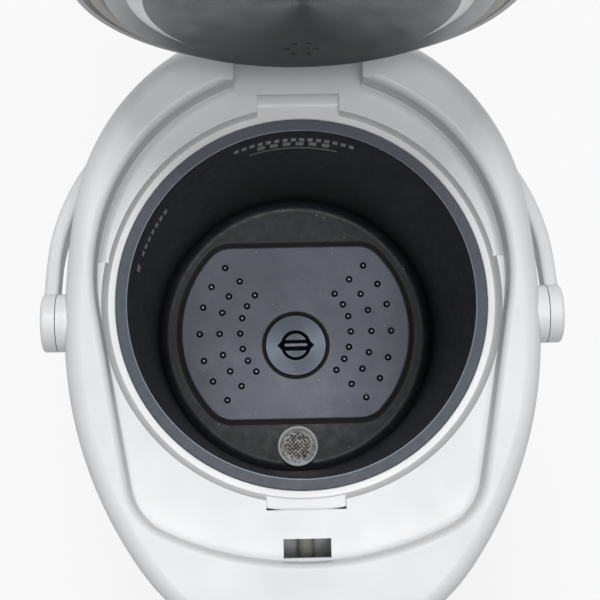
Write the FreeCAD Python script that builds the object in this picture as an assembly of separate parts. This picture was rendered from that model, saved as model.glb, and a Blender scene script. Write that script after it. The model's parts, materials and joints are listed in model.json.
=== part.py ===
"""Electric thermo pot: a coated water container in a white housing, with an electric pump and a spout
under the nose, a rear-hinged lid that stands open, and a bail handle folded back.

Millimetres. +Z is up, -Y is the front with the spout and the control panel, +X is the user's right.
The origin is on the container's axis, at the level of the surface that the feet stand on.
"""

import math
import os

import FreeCAD
import Part

# Water container
POT_RADIUS = 82.0
POT_WALL = 1.2
POT_DEPTH = 215.0
POT_FLOOR_Z = 78.0
POT_CORNER = 6.0
POT_FLANGE_WIDTH = 6.0

# Boiling plate on the container's floor, and the cap in it
PLATE_MARGIN = 12.5
PLATE_FLAT_MARGIN = 29.3
PLATE_ROUND = 1.2
PLATE_CORNER = 17.0
PLATE_Y = 1.5
PLATE_RISE = 3.0
PLATE_CHANNEL = 2.6
CHANNEL_LIP = 0.8
NUB_RADIUS = 2.1
NUB_HEIGHT = 1.4
NUB_CIRCLES = (33.5, 46.0, 58.0)
NUB_ANGLES = (-43.7, -29.6, -16.2, 0.0, 16.2, 29.6, 43.7)
CAP_RADIUS = 18.8
CAP_GROOVE = 1.8
CAP_Y = -6.2
CAP_SCOOP_RADIUS = 9.1
CAP_SCOOP_DEPTH = 2.0
GRIP_LENGTH = 22.6
GRIP_WIDTH = 6.6
GRIP_HEIGHT = 3.4
GRIP_CREST = 1.6
GRIP_SLOPE = 1.8
CAP_ROUND = 0.8
CAP_SCOOP_TAPER = 2.0
CAP_STEM_RADIUS = 5.0
CAP_SEAL_GAP = 0.05

# Strainer over the outlet in the floor
OUTLET_MARGIN = 15.0
STRAINER_RADIUS = 12.0
STRAINER_MESH_RADIUS = 8.4
STRAINER_RISE = 1.6
STRAINER_RIM = 2.8
STRAINER_DEPTH = 9.0
STRAINER_SINK = 1.6
STRAINER_SKIN = 0.7
STRAINER_PLAY = 0.25
STRAINER_HOLE = 0.55
STRAINER_PITCH = 1.7
OUTLET_RADIUS = 9.3

# Housing
CASING_ROOM = 20.8
CASING_WALL = 1.6
CASING_FLAT = 7.0
CASING_LAP = 6.0
CASING_BOTTOM_Z = 16.0
SHIELD_GAP = 1.0
SHIELD_WALL = 0.8
HEAD_OVERHANG = 5.5
HEAD_MID_Y = -15.0
HEAD_BACK_REACH = 29.0
HEAD_BACK_DRAW = 3.5
HEAD_FRONT_REACH = 58.0
HEAD_FRONT_DRAW = 17.6
HEAD_WALL = 3.2
HEAD_ROOF = 5.5
HEAD_DEPTH = 66.0
SHOULDER_RISE = 24.0
SHOULDER_ROUND = 8.0
HEAD_FOOT_ROUND = 4.0
UNDERSIDE_LIFT = 0.5
UNDERSIDE_THICKNESS = 2.5
UNDERSIDE_GAP = 0.2
UNDERSIDE_FACET_GAP = 0.3
NOSE_PAD_SIDE = 3.0
NOSE_PAD_FRONT = 9.0
NOSE_PAD_BACK = 6.5
NOSE_PAD_LIFT = 3.4
NOSE_PAD_DROP = 12.0

# Recess that the lid drops into
RECESS_MARGIN = 7.3
RECESS_BACK_CENTRE_Y = 12.0
RECESS_SIDE_DEG = 9.5
RECESS_FRONT_RADIUS = 150.0
RECESS_FRONT_MARGIN = 32.0
RECESS_CORNER = 28.0
RECESS_ROUND = 3.6
CRESCENT_INSET = 0.5
DECK_RISE = 7.5
BACK_DECK_DROP = 2.5
BACK_DECK_Y = 20.0
DECK_THICKNESS = 5.0
SEAT_WIDTH = 3.2
FLANGE_PLAY = 0.3
LEDGE_DROP = 0.3
RISER_RUN = 2.5
COLLAR_WALL = 3.5
COLLAR_DROP = 19.0
BACK_NOTCH_HALF = 19.5
BACK_NOTCH_RUN = 11.0
FRONT_NOTCH_HALF = 18.5
FRONT_NOTCH_RUN = 8.5
FRONT_NOTCH_DEPTH = 12.0
FRONT_NOTCH_RISE = 3.0

# Lid, hinge and latch
LID_GAP = 1.3
LID_WALL = 2.4
LID_CROWN = 9.0
LID_CROWN_RADIUS = 700.0
LID_EDGE_ROUND = 2.5
LID_OPEN_DEG = 98.0
LID_LIFT = 0.6
PLUG_GAP = 4.0
PLUG_DEPTH = 8.0
PLUG_RISE = 4.0
PLUG_POST_RADIUS = 3.0
PLUG_POST_INSET = 3.2
STEAM_HOLE_RADIUS = 1.5
STEAM_HOLE_CIRCLE = 6.0
GASKET_MARGIN = 1.5
GASKET_HEIGHT = 3.7
GASKET_NIP = 0.3
COVER_THICKNESS = 2.0
DRUM_WALL = 6.0
GASKET_LAND = 1.5
GASKET_INNER_GAP = 2.0
GASKET_INNER_BEVEL = (2.2, 1.6)
GASKET_OUTER_BEVEL = (0.8, 1.2)
INNER_LID_SHEET = 1.0
INNER_LID_STEP = 4.0
INNER_LID_DISH = 16.0
INNER_LID_SLOPE = 9.0
INNER_LID_MITRE = 0.4
COVER_GAP = 0.1
LID_SCREW_RADIUS = 2.6
LID_SCREW_HEAD = 0.4
LID_SCREW_BACK_MARGINS = (26.0, 16.0)
LID_SCREW_FRONT_MARGIN = 18.0
HINGE_RUN = 8.7
HINGE_DROP = 5.0
HINGE_HALF = 30.0
HINGE_BARREL = 5.5
HINGE_PIN_RADIUS = 2.0
HINGE_PIN_ROOT = 4.0
HINGE_POCKET_GAP = 3.5
HINGE_CHEEK = 5.0
HINGE_ARM_ROOT = 8.0
RUNNING_GAP = 0.06
SIDE_GAP = 0.4
LEVER_HALF = 17.0
LEVER_FRONT_RUN = 4.0
LEVER_BACK_RUN = 24.0
LEVER_PIN_RUN = 19.0
LEVER_PIN_RADIUS = 1.5
LEVER_PIN_RISE = 1.5
LEVER_PIN_ROOT = 2.5
LEVER_PIN_END_GAP = 0.1
LEVER_BARREL = 3.0
LEVER_THICKNESS = 2.6
LEVER_RISE = 3.2
LEVER_CORNER = 3.0
LEVER_ROUND = 0.8
LEVER_GAP = 0.6
LEVER_FRONT_GAP = 0.8
LEVER_TRAY_WALL = 3.0
LEVER_SINK = 5.0
HOOK_HALF = 8.0
HOOK_RUN = 6.5
HOOK_DROP = 3.4
HOOK_NIP = 0.5
HOOK_SIDE_GAP = 1.0
HOOK_SWING = 8.0
HOOK_THICKNESS = 3.0
HOOK_NOSE = 2.2
HOOK_BITE = 1.4
VENT_Y = 48.0
VENT_RADIUS = 11.0
VENT_GAP = 0.15
VENT_RIM = 2.5
VENT_WALL = 1.8
VENT_ROUND = 1.2
VENT_SINK = 1.2
VENT_SLOT_HALF_LENGTH = 6.0
VENT_SLOT_HALF_WIDTH = 0.7
VENT_SLOT_PITCH = 3.0
BALL_RADIUS = 3.6
BALL_SEAT = 2.5
BALL_GAP = 0.1
DUCT_BORE = 5.0
DUCT_WALL = 1.5
DUCT_TOP_DROP = 4.0

# Bail handle
PIVOT_Y = -8.0
PIVOT_DROP = 17.0
PIVOT_RADIUS = 13.5
PIVOT_PIN_RADIUS = 4.0
PIVOT_BOSS = 4.0
PIVOT_SKIN = 1.4
PIVOT_ROOT = 12.0
PIVOT_BOSS_ROOT = 10.0
PIVOT_PIN_GAP = 0.4
PIVOT_ROUND = 1.6
HANDLE_THICKNESS = 6.6
HANDLE_DEPTH = 14.0
HANDLE_STRAIGHT = 30.0
HANDLE_CLEARANCE = 24.0
HANDLE_BACK_DRAW = 53.0
GRIP_THICKNESS = 15.0
GRIP_DRAW = 9.0
HANDLE_FOLD_DEG = 32.0
HANDLE_ROUND = 2.6

# Control panel on the nose
FACET_DEG = 8.0
FACET_CUT = 12.0
FACET_REF_DROP = 30.0
PANEL_WIDTH = 62.0
PANEL_HEIGHT = 38.0
PANEL_THICKNESS = 2.4
PANEL_SINK = 1.2
PANEL_CORNER = 7.0
PANEL_GAP = 0.2
PANEL_ROUND = 0.7
PANEL_WELL_MARGIN = 6.0
PANEL_WELL = (-17.0, 8.5)
PANEL_WELL_DEPTH = 20.0
DISPLAY_Y = 13.0
DISPLAY_MARGIN = 11.0
DISPLAY_HEIGHT = 8.0
DISPLAY_DEPTH = 1.0
DISPLAY_CORNER = 1.6
DISPLAY_PROUD = 0.15
DISPLAY_GAP = 0.1
PANEL_DROP = 36.5
BUTTON_GAP = 0.35
BUTTON_PROUD = 1.8
BUTTON_TRAVEL = 1.2
BUTTON_STEM = 4.6
BUTTON_STEM_RADIUS = 1.8
BUTTON_CORNER = 2.4
BUTTON_SKIRT = 1.2
BUTTON_ROUND = 0.8
BOARD_THICKNESS = 1.6
BOARD_GAP = 0.5
SWITCH_HALF = 2.6
SWITCH_HEIGHT = 2.0
SWITCH_PLAY = 0.4
SMALL_BUTTON_SIZE = (12.0, 7.0)
SMALL_BUTTON_Y = 3.2
SMALL_BUTTON_MARGIN = 13.0
LARGE_BUTTON_MARGIN = 16.0
LARGE_BUTTON_HEIGHT = 12.0
LARGE_BUTTON_Y = -9.5

# Water path
SPOUT_RUN = 30.0
SPOUT_RADIUS = 8.0
SPOUT_BORE = 4.0
SPOUT_DROP = 18.0
SPOUT_TOP_RISE = 6.0
SPOUT_PIPE_RISE = 14.0
SPOUT_PIPE_BEND = 7.5
SPOUT_LIP = 2.0
SPOUT_TAPER = 8.0
SPOUT_FLANGE = 2.5
TUBE_RADIUS = 4.0
TUBE_BORE = 3.0
TUBE_INSET = 6.4
SPIGOT_DRAW = 0.8
SPIGOT_WALL = 1.2
HOSE_LAP = 6.0
PORT_WALL = 1.6
PORT_FLANGE = 4.5
PORT_CUP_DEPTH = 12.0
PORT_TAPER = 3.0
PORT_DEPTH = 22.0
GAUGE_BOTTOM_Z = 96.0
GAUGE_TOP_DROP = 1.0
GAUGE_WINDOW_HALF = 6.0
GAUGE_WINDOW_Z0 = 104.0
GAUGE_WINDOW_DROP = 15.0
GAUGE_GAP = 0.15
GAUGE_PROUD = 0.4
GAUGE_LAP = 0.6
GAUGE_RIM_SIDE = 2.5
GAUGE_RIM_END = 3.0
GAUGE_CORNER_CUT = 0.2
GAUGE_LENS_CORNER_CUT = 0.4
PUMP_X = 22.0
PUMP_Z = 36.0
PUMP_RADIUS = 16.0
PUMP_LENGTH = 12.0
MOTOR_RADIUS = 12.0
MOTOR_LENGTH = 24.0
HOSE_RADIUS = 4.6
INLET_BEND = 9.0
RISER_BEND = 6.0
RISER_RISE = 22.0
HOSE_GAP = 0.6
PUMP_WALL = 3.0
PUMP_BACK_WALL = 2.0
PUMP_FOOT_HALF = 10.0
PUMP_FOOT_TOP = 8.0
PUMP_TAIL = 8.0
PUMP_OUTLET_INSET = 4.5
PUMP_OUTLET_REACH = 19.0
IMPELLER_DRAW = 4.5
IMPELLER_BACK_GAP = 1.0
IMPELLER_FRONT_GAP = 3.0
IMPELLER_DISC = 1.6
HUB_RADIUS = 3.0
SHAFT_RADIUS = 1.2
SHAFT_LENGTH = 7.0
VANE_COUNT = 6
VANE_HALF = 0.6
VANE_ROOT = 2.0
MOTOR_PLATE = 1.6

# Heater, electrics and base
HEATER_MARGIN = 30.0
HEATER_THICKNESS = 6.0
SHEATH_RADIUS = 3.5
SHEATH_INSET = 8.0
SHEATH_SWEEP = 320.0
SHEATH_TURN = 110.0
BAND_RISE = 18.0
BAND_HEIGHT = 40.0
BAND_THICKNESS = 0.7
SHIELD_BOTTOM_DROP = 14.0
SEAL_HEIGHT = 6.0
THERMOSTAT_RADIUS = 8.0
THERMOSTAT_HEIGHT = 9.0
THERMOSTAT_Y = 26.0
THERMOSTAT_TAB_X = 6.0
THERMOSTAT_TAB_HALF = 0.5
THERMOSTAT_TAB_HALF_WIDTH = 3.0
THERMOSTAT_TAB_DROPS = (16.0, 8.0)
BASE_LIP = 2.0
BASE_ROUND = 3.0
CASING_FIT = 0.2
BASE_WALL = 2.6
BASE_HEIGHT = 18.0
FOOT_HEIGHT = 4.0
FOOT_COUNT = 4
FOOT_FIRST_DEG = 45.0
FOOT_RADIUS = 9.0
FOOT_MARGIN = 18.0
FOOT_ROUND = 1.0
FOOT_PLUG_DRAW = 2.0
FOOT_PLUG_GAP = 0.1
FOOT_PLUG_RISE = 1.2
SCREW_RADIUS = 1.6
SCREW_MARGIN = 36.0
SCREW_BOSS_RADIUS = 5.0
SCREW_HEAD_RADIUS = 3.0
SCREW_HEAD = 1.6
SCREW_LENGTH = 16.0
AIR_SLOTS = 9
AIR_SLOT_PITCH = 9.0
AIR_SLOT_HALF = 1.6
AIR_SLOT_Y = (-12.0, 34.0)
INLET_Z = 34.0
INLET_WIDTH = 34.0
INLET_HEIGHT = 20.0
INLET_DEPTH = 16.0
INLET_PROUD = 0.5
INLET_GAP = 0.2
INLET_WALL = 2.2
INLET_FLOOR = 4.0
INLET_PIN_X = 8.5
INLET_PIN_RADIUS = 2.0
INLET_PIN_ROOT = 4.0
INLET_PIN_REACH = 10.0
POWER_BOARD_HALF_WIDTH = 42.0
POWER_BOARD_MARGIN = 22.0
POWER_BOARD_DEPTH = 42.0
POWER_RIB_X = 38.0
POWER_RIB_HALF = 1.0
POWER_RIB_INSET = 2.0
POWER_RIB_HEIGHT = 10.0
# Each block on the main board: left, right, front and back from the board's front edge, height
POWER_BLOCKS = (
    (-30.0, -12.0, 6.0, 20.0, 15.4),
    (-2.0, 22.0, 4.0, 26.0, 18.4),
    (28.0, 36.0, 6.0, 30.0, 8.4),
)

# Levels that follow from the sizes above
POT_OUTER = POT_RADIUS + POT_WALL
RIM_Z = POT_FLOOR_Z + POT_DEPTH
FLANGE_RADIUS = POT_RADIUS + POT_FLANGE_WIDTH
PLATE_RADIUS = POT_RADIUS - PLATE_MARGIN
PLATE_HALF_DEPTH = POT_RADIUS - PLATE_FLAT_MARGIN
OUTLET_Y = OUTLET_MARGIN - POT_RADIUS
CASING_RADIUS = POT_OUTER + CASING_ROOM
CASING_FLAT_Y = CASING_FLAT - CASING_RADIUS
HEAD_HALF_WIDTH = CASING_RADIUS + HEAD_OVERHANG
HEAD_BACK_Y = CASING_RADIUS + HEAD_BACK_REACH
HEAD_BACK_RADIUS = HEAD_HALF_WIDTH - HEAD_BACK_DRAW
HEAD_FRONT_Y = -CASING_RADIUS - HEAD_FRONT_REACH
HEAD_FRONT_RADIUS = HEAD_HALF_WIDTH - HEAD_FRONT_DRAW
RECESS_BACK_RADIUS = FLANGE_RADIUS + RECESS_MARGIN
RECESS_BACK_Y = RECESS_BACK_CENTRE_Y + RECESS_BACK_RADIUS
RECESS_FRONT_Y = -FLANGE_RADIUS - RECESS_FRONT_MARGIN
RECESS_FRONT_CENTRE_Y = RECESS_FRONT_Y + RECESS_FRONT_RADIUS
BACK_NOTCH_Y = FLANGE_RADIUS + BACK_NOTCH_RUN
FRONT_NOTCH_Y = -FLANGE_RADIUS - FRONT_NOTCH_RUN
PLUG_RADIUS = POT_RADIUS - PLUG_GAP
GASKET_RADIUS = FLANGE_RADIUS - GASKET_MARGIN
HINGE_Y = RECESS_BACK_Y + HINGE_RUN
LEVER_FRONT_Y = RECESS_FRONT_Y - LEVER_FRONT_RUN
LEVER_BACK_Y = RECESS_FRONT_Y + LEVER_BACK_RUN
LEVER_PIN_Y = RECESS_FRONT_Y + LEVER_PIN_RUN
HOOK_Y = RECESS_FRONT_Y + HOOK_RUN
FACET_Y = HEAD_FRONT_Y + FACET_CUT
SPOUT_Y = HEAD_FRONT_Y + SPOUT_RUN
TUBE_Y = CASING_FLAT_Y + TUBE_INSET
SPIGOT_RADIUS = TUBE_RADIUS - SPIGOT_DRAW
SPIGOT_BORE = SPIGOT_RADIUS - SPIGOT_WALL
HANDLE_INNER_X = HEAD_HALF_WIDTH + PIVOT_BOSS + SIDE_GAP
HANDLE_OUTER_X = HANDLE_INNER_X + HANDLE_THICKNESS
HANDLE_REACH = HEAD_BACK_Y - PIVOT_Y + HANDLE_CLEARANCE
HANDLE_BACK_RADIUS = HANDLE_REACH - HANDLE_BACK_DRAW
HEATER_RADIUS = POT_RADIUS - HEATER_MARGIN
SHEATH_LOOP = HEATER_RADIUS - SHEATH_INSET
BASE_RADIUS = CASING_RADIUS + BASE_LIP
FOOT_CIRCLE = BASE_RADIUS - FOOT_MARGIN
SCREW_CIRCLE = BASE_RADIUS - SCREW_MARGIN
PUMP_OUTLET_Z = PUMP_Z + PUMP_RADIUS - PUMP_OUTLET_INSET
INLET_BACK_Y = CASING_RADIUS + INLET_PROUD
INLET_FRONT_Y = INLET_BACK_Y - INLET_DEPTH
SEAT_Z = RIM_Z - POT_WALL
SEAT_RADIUS = FLANGE_RADIUS + SEAT_WIDTH
LEDGE_Z = RIM_Z - LEDGE_DROP
DECK_Z = RIM_Z + DECK_RISE
BACK_DECK_Z = DECK_Z - BACK_DECK_DROP
TOP_Z = RIM_Z + SHOULDER_RISE
HEAD_Z = TOP_Z - HEAD_DEPTH
HINGE_Z = TOP_Z - HINGE_DROP
PIVOT_Z = TOP_Z - PIVOT_DROP
CASING_TOP_Z = HEAD_Z + CASING_LAP
GAUGE_TOP_Z = HEAD_Z - GAUGE_TOP_DROP
GAUGE_WINDOW_Z1 = HEAD_Z - GAUGE_WINDOW_DROP
LID_LOW_Z = DECK_Z + LID_LIFT
LID_CROWN_Z = TOP_Z + LID_CROWN
LEVER_PIN_Z = TOP_Z + LEVER_PIN_RISE
PANEL_TOP = PANEL_THICKNESS - PANEL_SINK
NOSE_PAD_HALF = PANEL_WIDTH / 2 + NOSE_PAD_SIDE
PANEL_WELL_HALF_WIDTH = PANEL_WIDTH / 2 - PANEL_WELL_MARGIN
DISPLAY_WIDTH = PANEL_WIDTH - 2 * DISPLAY_MARGIN
SIDE_BUTTON_X = PANEL_WIDTH / 2 - SMALL_BUTTON_MARGIN
LARGE_BUTTON_WIDTH = PANEL_WIDTH - 2 * LARGE_BUTTON_MARGIN
UNDERSIDE_Z = POT_FLOOR_Z - POT_WALL
PLATE_Z = POT_FLOOR_Z + PLATE_RISE
BIG = 400.0

# Each button's centre across and up the panel, its width and its height
BUTTONS = {
    "dispense_button": (0.0, LARGE_BUTTON_Y, LARGE_BUTTON_WIDTH, LARGE_BUTTON_HEIGHT),
    "unlock_button": (-SIDE_BUTTON_X, SMALL_BUTTON_Y, *SMALL_BUTTON_SIZE),
    "reboil_button": (0.0, SMALL_BUTTON_Y, *SMALL_BUTTON_SIZE),
    "keep_warm_button": (SIDE_BUTTON_X, SMALL_BUTTON_Y, *SMALL_BUTTON_SIZE),
}

X_AXIS = FreeCAD.Vector(1, 0, 0)
Z_AXIS = FreeCAD.Vector(0, 0, 1)


def at(x, y, z):
    return FreeCAD.Vector(x, y, z)


def box(x0, x1, y0, y1, z0, z1):
    return Part.makeBox(x1 - x0, y1 - y0, z1 - z0, at(x0, y0, z0))


def rod(radius, start, end):
    """A round bar between two points."""
    run = end - start
    return Part.makeCylinder(radius, run.Length, start, run)


def pipe(outer, inner, start, end):
    """A round tube between two points."""
    return rod(outer, start, end).cut(rod(inner, start, end))


def joined(first, *more):
    """Several overlapping or touching shapes as one clean solid."""
    return first.fuse(list(more)).removeSplitter()


def turned(points, y=0.0, x=0.0):
    """A solid of revolution about an upright axis, from (radius, z) corners."""
    corners = [at(x + r, y, z) for r, z in points]
    face = Part.Face(Part.makePolygon(corners + corners[:1]))
    return face.revolve(at(x, y, 0), Z_AXIS, 360)


def oval_wire(half_width, mid_y, back_y, back_radius, front_y, front_radius, z, inset=0.0):
    """An egg-shaped outline of six tangent arcs, drawn in by inset all round."""
    half_width -= inset
    arcs = []
    ends = (
        (back_y - inset - mid_y, back_radius - inset, 1.0),
        (mid_y - front_y - inset, front_radius - inset, -1.0),
    )
    joints = []
    for length, end_radius, way in ends:
        offset = length - end_radius
        side_radius = (half_width**2 + offset**2 - end_radius**2) / (2 * (half_width - end_radius))
        turn = math.atan2(offset, side_radius - half_width)
        end_centre = mid_y + way * offset
        joints.append(
            (
                end_radius * math.cos(turn),
                end_centre + way * end_radius * math.sin(turn),
                half_width - side_radius + side_radius * math.cos(turn / 2),
                mid_y + way * side_radius * math.sin(turn / 2),
                end_centre + way * end_radius,
            )
        )
    (bx, by, bmx, bmy, btip), (fx, fy, fmx, fmy, ftip) = joints
    right = at(half_width, mid_y, z)
    left = at(-half_width, mid_y, z)
    arcs.append(Part.Arc(right, at(bmx, bmy, z), at(bx, by, z)))
    arcs.append(Part.Arc(at(bx, by, z), at(0, btip, z), at(-bx, by, z)))
    arcs.append(Part.Arc(at(-bx, by, z), at(-bmx, bmy, z), left))
    arcs.append(Part.Arc(left, at(-fmx, fmy, z), at(-fx, fy, z)))
    arcs.append(Part.Arc(at(-fx, fy, z), at(0, ftip, z), at(fx, fy, z)))
    arcs.append(Part.Arc(at(fx, fy, z), at(fmx, fmy, z), right))
    return Part.Wire([arc.toShape() for arc in arcs])


def head_block(z0, z1, inset=0.0):
    """The head's plan as an upright block."""
    wire = oval_wire(
        HEAD_HALF_WIDTH, HEAD_MID_Y, HEAD_BACK_Y, HEAD_BACK_RADIUS, HEAD_FRONT_Y, HEAD_FRONT_RADIUS, z0, inset
    )
    return Part.Face(wire).extrude(at(0, 0, z1 - z0))


def recess_block(z0, z1, inset=0.0):
    """The lid recess's plan as an upright block: a round back, and sides drawn in to a bowed front."""
    back_radius = RECESS_BACK_RADIUS - inset
    front_radius = RECESS_FRONT_RADIUS - inset
    side = math.radians(RECESS_SIDE_DEG)
    meet_x = back_radius * math.cos(side)
    meet_y = RECESS_BACK_CENTRE_Y - back_radius * math.sin(side)
    rise = meet_y - RECESS_FRONT_CENTRE_Y
    along_x = -math.sin(side)
    along_y = -math.cos(side)
    half_term = meet_x * along_x + rise * along_y
    reach = -half_term + math.sqrt(half_term**2 - meet_x**2 - rise**2 + front_radius**2)
    corner_x = meet_x + along_x * reach
    corner_y = meet_y + along_y * reach
    back = at(0, RECESS_BACK_CENTRE_Y + back_radius, z0)
    front = at(0, RECESS_FRONT_CENTRE_Y - front_radius, z0)
    edges = [
        Part.Arc(at(meet_x, meet_y, z0), back, at(-meet_x, meet_y, z0)),
        Part.LineSegment(at(-meet_x, meet_y, z0), at(-corner_x, corner_y, z0)),
        Part.Arc(at(-corner_x, corner_y, z0), front, at(corner_x, corner_y, z0)),
        Part.LineSegment(at(corner_x, corner_y, z0), at(meet_x, meet_y, z0)),
    ]
    block = Part.Face(Part.Wire([edge.toShape() for edge in edges])).extrude(at(0, 0, z1 - z0))
    corners = [e for e in block.Edges if abs(e.CenterOfMass.y - corner_y) < 1e-3 and is_upright(e, z1 - z0)]
    return block.makeFillet(RECESS_CORNER - inset, corners)


def is_upright(edge, height):
    return abs(edge.BoundBox.ZMax - edge.BoundBox.ZMin - height) < 1e-6


def edges_at(shape, z, test=lambda edge: True):
    """The edges that lie wholly at one level and pass a test."""
    found = []
    for edge in shape.Edges:
        limits = edge.BoundBox
        if abs(limits.ZMin - z) < 1e-3 and abs(limits.ZMax - z) < 1e-3 and test(edge):
            found.append(edge)
    return found


def rounded_plate(width, height, z0, z1, corner):
    """An upright plate with round corners, centred on the local origin."""
    plate = box(-width / 2, width / 2, -height / 2, height / 2, z0, z1)
    return plate.makeFillet(corner, [e for e in plate.Edges if is_upright(e, z1 - z0)])


def hose(points, bend, outer, inner):
    """A tube along straight runs that are joined by tangent arcs."""
    edges = []
    start = points[0]
    for before, corner, after in zip(points, points[1:], points[2:]):
        towards = (before - corner).normalize()
        onwards = (after - corner).normalize()
        half_turn = (math.pi - towards.getAngle(onwards)) / 2
        reach = bend * math.tan(half_turn)
        first = corner + towards * reach
        last = corner + onwards * reach
        middle_way = (towards + onwards).normalize()
        middle = corner + middle_way * (bend / math.cos(half_turn) - bend)
        if (first - start).Length > 1e-6:
            edges.append(Part.LineSegment(start, first).toShape())
        edges.append(Part.Arc(first, middle, last).toShape())
        start = last
    edges.append(Part.LineSegment(start, points[-1]).toShape())
    path = Part.Wire(edges)
    way = (points[1] - points[0]).normalize()
    rings = [Part.Wire(Part.makeCircle(radius, points[0], way)) for radius in (outer, inner)]
    solids = [path.makePipeShell([ring], True, True) for ring in rings]
    return solids[0].cut(solids[1])


def opened(shape):
    """A lid piece, drawn shut, swung up about the hinge to where it stands open."""
    moved = shape.copy()
    moved.rotate(at(0, HINGE_Y, HINGE_Z), X_AXIS, -LID_OPEN_DEG)
    return moved


def folded(shape):
    """A handle piece, drawn in the XY plane with the pivot at the origin, folded back and down."""
    moved = shape.copy()
    moved.rotate(at(0, 0, 0), X_AXIS, -HANDLE_FOLD_DEG)
    moved.translate(at(0, PIVOT_Y, PIVOT_Z))
    return moved


def on_facet(shape):
    """A panel piece, drawn flat with +Z as its front, placed on the nose's sloping facet."""
    moved = shape.copy()
    moved.rotate(at(0, 0, 0), X_AXIS, 90 - FACET_DEG)
    drop = PANEL_DROP - FACET_REF_DROP
    moved.translate(at(0, FACET_Y - drop * math.tan(math.radians(FACET_DEG)), TOP_Z - PANEL_DROP))
    return moved


def circle_points(count, radius, y=0.0, first_deg=0.0):
    for i in range(count):
        angle = math.radians(first_deg + 360.0 * i / count)
        yield radius * math.cos(angle), y + radius * math.sin(angle)


def plate_outline(z0, z1, grow=0.0):
    """The boiling plate's plan: a disc cut off front and back, with its four corners rounded."""
    radius = PLATE_RADIUS + grow
    half = PLATE_HALF_DEPTH + grow
    disc = Part.makeCylinder(radius, z1 - z0, at(0, PLATE_Y, z0))
    plan = disc.common(box(-BIG, BIG, PLATE_Y - half, PLATE_Y + half, z0, z1))
    upright = [e for e in plan.Edges if is_upright(e, z1 - z0)]
    corners = [e for e in upright if abs(abs(e.Vertexes[0].Y - PLATE_Y) - half) < 1e-3]
    return plan.makeFillet(PLATE_CORNER + grow, corners)


def casing_block(z0, z1, inset=0.0):
    """The casing's plan: a round body flattened at the front."""
    body = Part.makeCylinder(CASING_RADIUS - inset, z1 - z0, at(0, 0, z0))
    return body.cut(box(-BIG, BIG, -BIG, CASING_FLAT_Y + inset, z0, z1))


def make_inner_pot():
    outer_corner = POT_CORNER + POT_WALL
    root_half = math.sqrt(0.5)
    wall_base = POT_FLOOR_Z + POT_CORNER
    inner_mid = at(
        POT_RADIUS - POT_CORNER + POT_CORNER * root_half, 0, wall_base - POT_CORNER * root_half
    )
    outer_mid = at(
        POT_RADIUS - POT_CORNER + outer_corner * root_half, 0, wall_base - outer_corner * root_half
    )
    floor_edge = POT_RADIUS - POT_CORNER
    bead = POT_WALL / 2
    points = {
        "axis_top": at(0, 0, POT_FLOOR_Z),
        "floor_end": at(floor_edge, 0, POT_FLOOR_Z),
        "wall_start": at(POT_RADIUS, 0, wall_base),
        "lip_in": at(POT_RADIUS, 0, RIM_Z - bead),
        "lip_top": at(POT_RADIUS + bead, 0, RIM_Z),
        "flange_top": at(FLANGE_RADIUS - bead, 0, RIM_Z),
        "flange_low": at(FLANGE_RADIUS - bead, 0, SEAT_Z),
        "neck": at(POT_OUTER, 0, SEAT_Z),
        "outer_wall": at(POT_OUTER, 0, wall_base),
        "outer_floor": at(floor_edge, 0, UNDERSIDE_Z),
        "axis_low": at(0, 0, UNDERSIDE_Z),
    }
    p = points
    lip_mid = at(POT_RADIUS + bead * (1 - root_half), 0, RIM_Z - bead * (1 - root_half))
    edge_mid = at(FLANGE_RADIUS, 0, RIM_Z - bead)
    edges = [
        Part.LineSegment(p["axis_top"], p["floor_end"]),
        Part.Arc(p["floor_end"], inner_mid, p["wall_start"]),
        Part.LineSegment(p["wall_start"], p["lip_in"]),
        Part.Arc(p["lip_in"], lip_mid, p["lip_top"]),
        Part.LineSegment(p["lip_top"], p["flange_top"]),
        Part.Arc(p["flange_top"], edge_mid, p["flange_low"]),
        Part.LineSegment(p["flange_low"], p["neck"]),
        Part.LineSegment(p["neck"], p["outer_wall"]),
        Part.Arc(p["outer_wall"], outer_mid, p["outer_floor"]),
        Part.LineSegment(p["outer_floor"], p["axis_low"]),
        Part.LineSegment(p["axis_low"], p["axis_top"]),
    ]
    section = Part.Face(Part.Wire([edge.toShape() for edge in edges]))
    pot = section.revolve(at(0, 0, 0), Z_AXIS, 360)
    pot = pot.cut(rod(OUTLET_RADIUS, at(0, OUTLET_Y, UNDERSIDE_Z - 1), at(0, OUTLET_Y, PLATE_Z)))
    return pot.cut(rod(CAP_STEM_RADIUS, at(0, CAP_Y, UNDERSIDE_Z - 1), at(0, CAP_Y, PLATE_Z)))


def turned_dome(radius, height, ball):
    """A low dome on the XY plane, with a short root below it."""
    root = height / 2
    lean = math.asin(radius / ball) / 2
    middle = at(ball * math.sin(lean), 0, height - ball + ball * math.cos(lean))
    edges = [
        Part.Arc(at(0, 0, height), middle, at(radius, 0, 0)),
        Part.LineSegment(at(radius, 0, 0), at(radius, 0, -root)),
        Part.LineSegment(at(radius, 0, -root), at(0, 0, -root)),
        Part.LineSegment(at(0, 0, -root), at(0, 0, height)),
    ]
    face = Part.Face(Part.Wire([edge.toShape() for edge in edges]))
    return face.revolve(at(0, 0, 0), Z_AXIS, 360)


def nub_places():
    """Three curved rows of nubs on each side of the plate, a mirrored pair at a time."""
    for radius in NUB_CIRCLES:
        for angle in NUB_ANGLES:
            x = radius * math.cos(math.radians(angle))
            y = PLATE_Y + radius * math.sin(math.radians(angle))
            yield x, y
            yield -x, y


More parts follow.
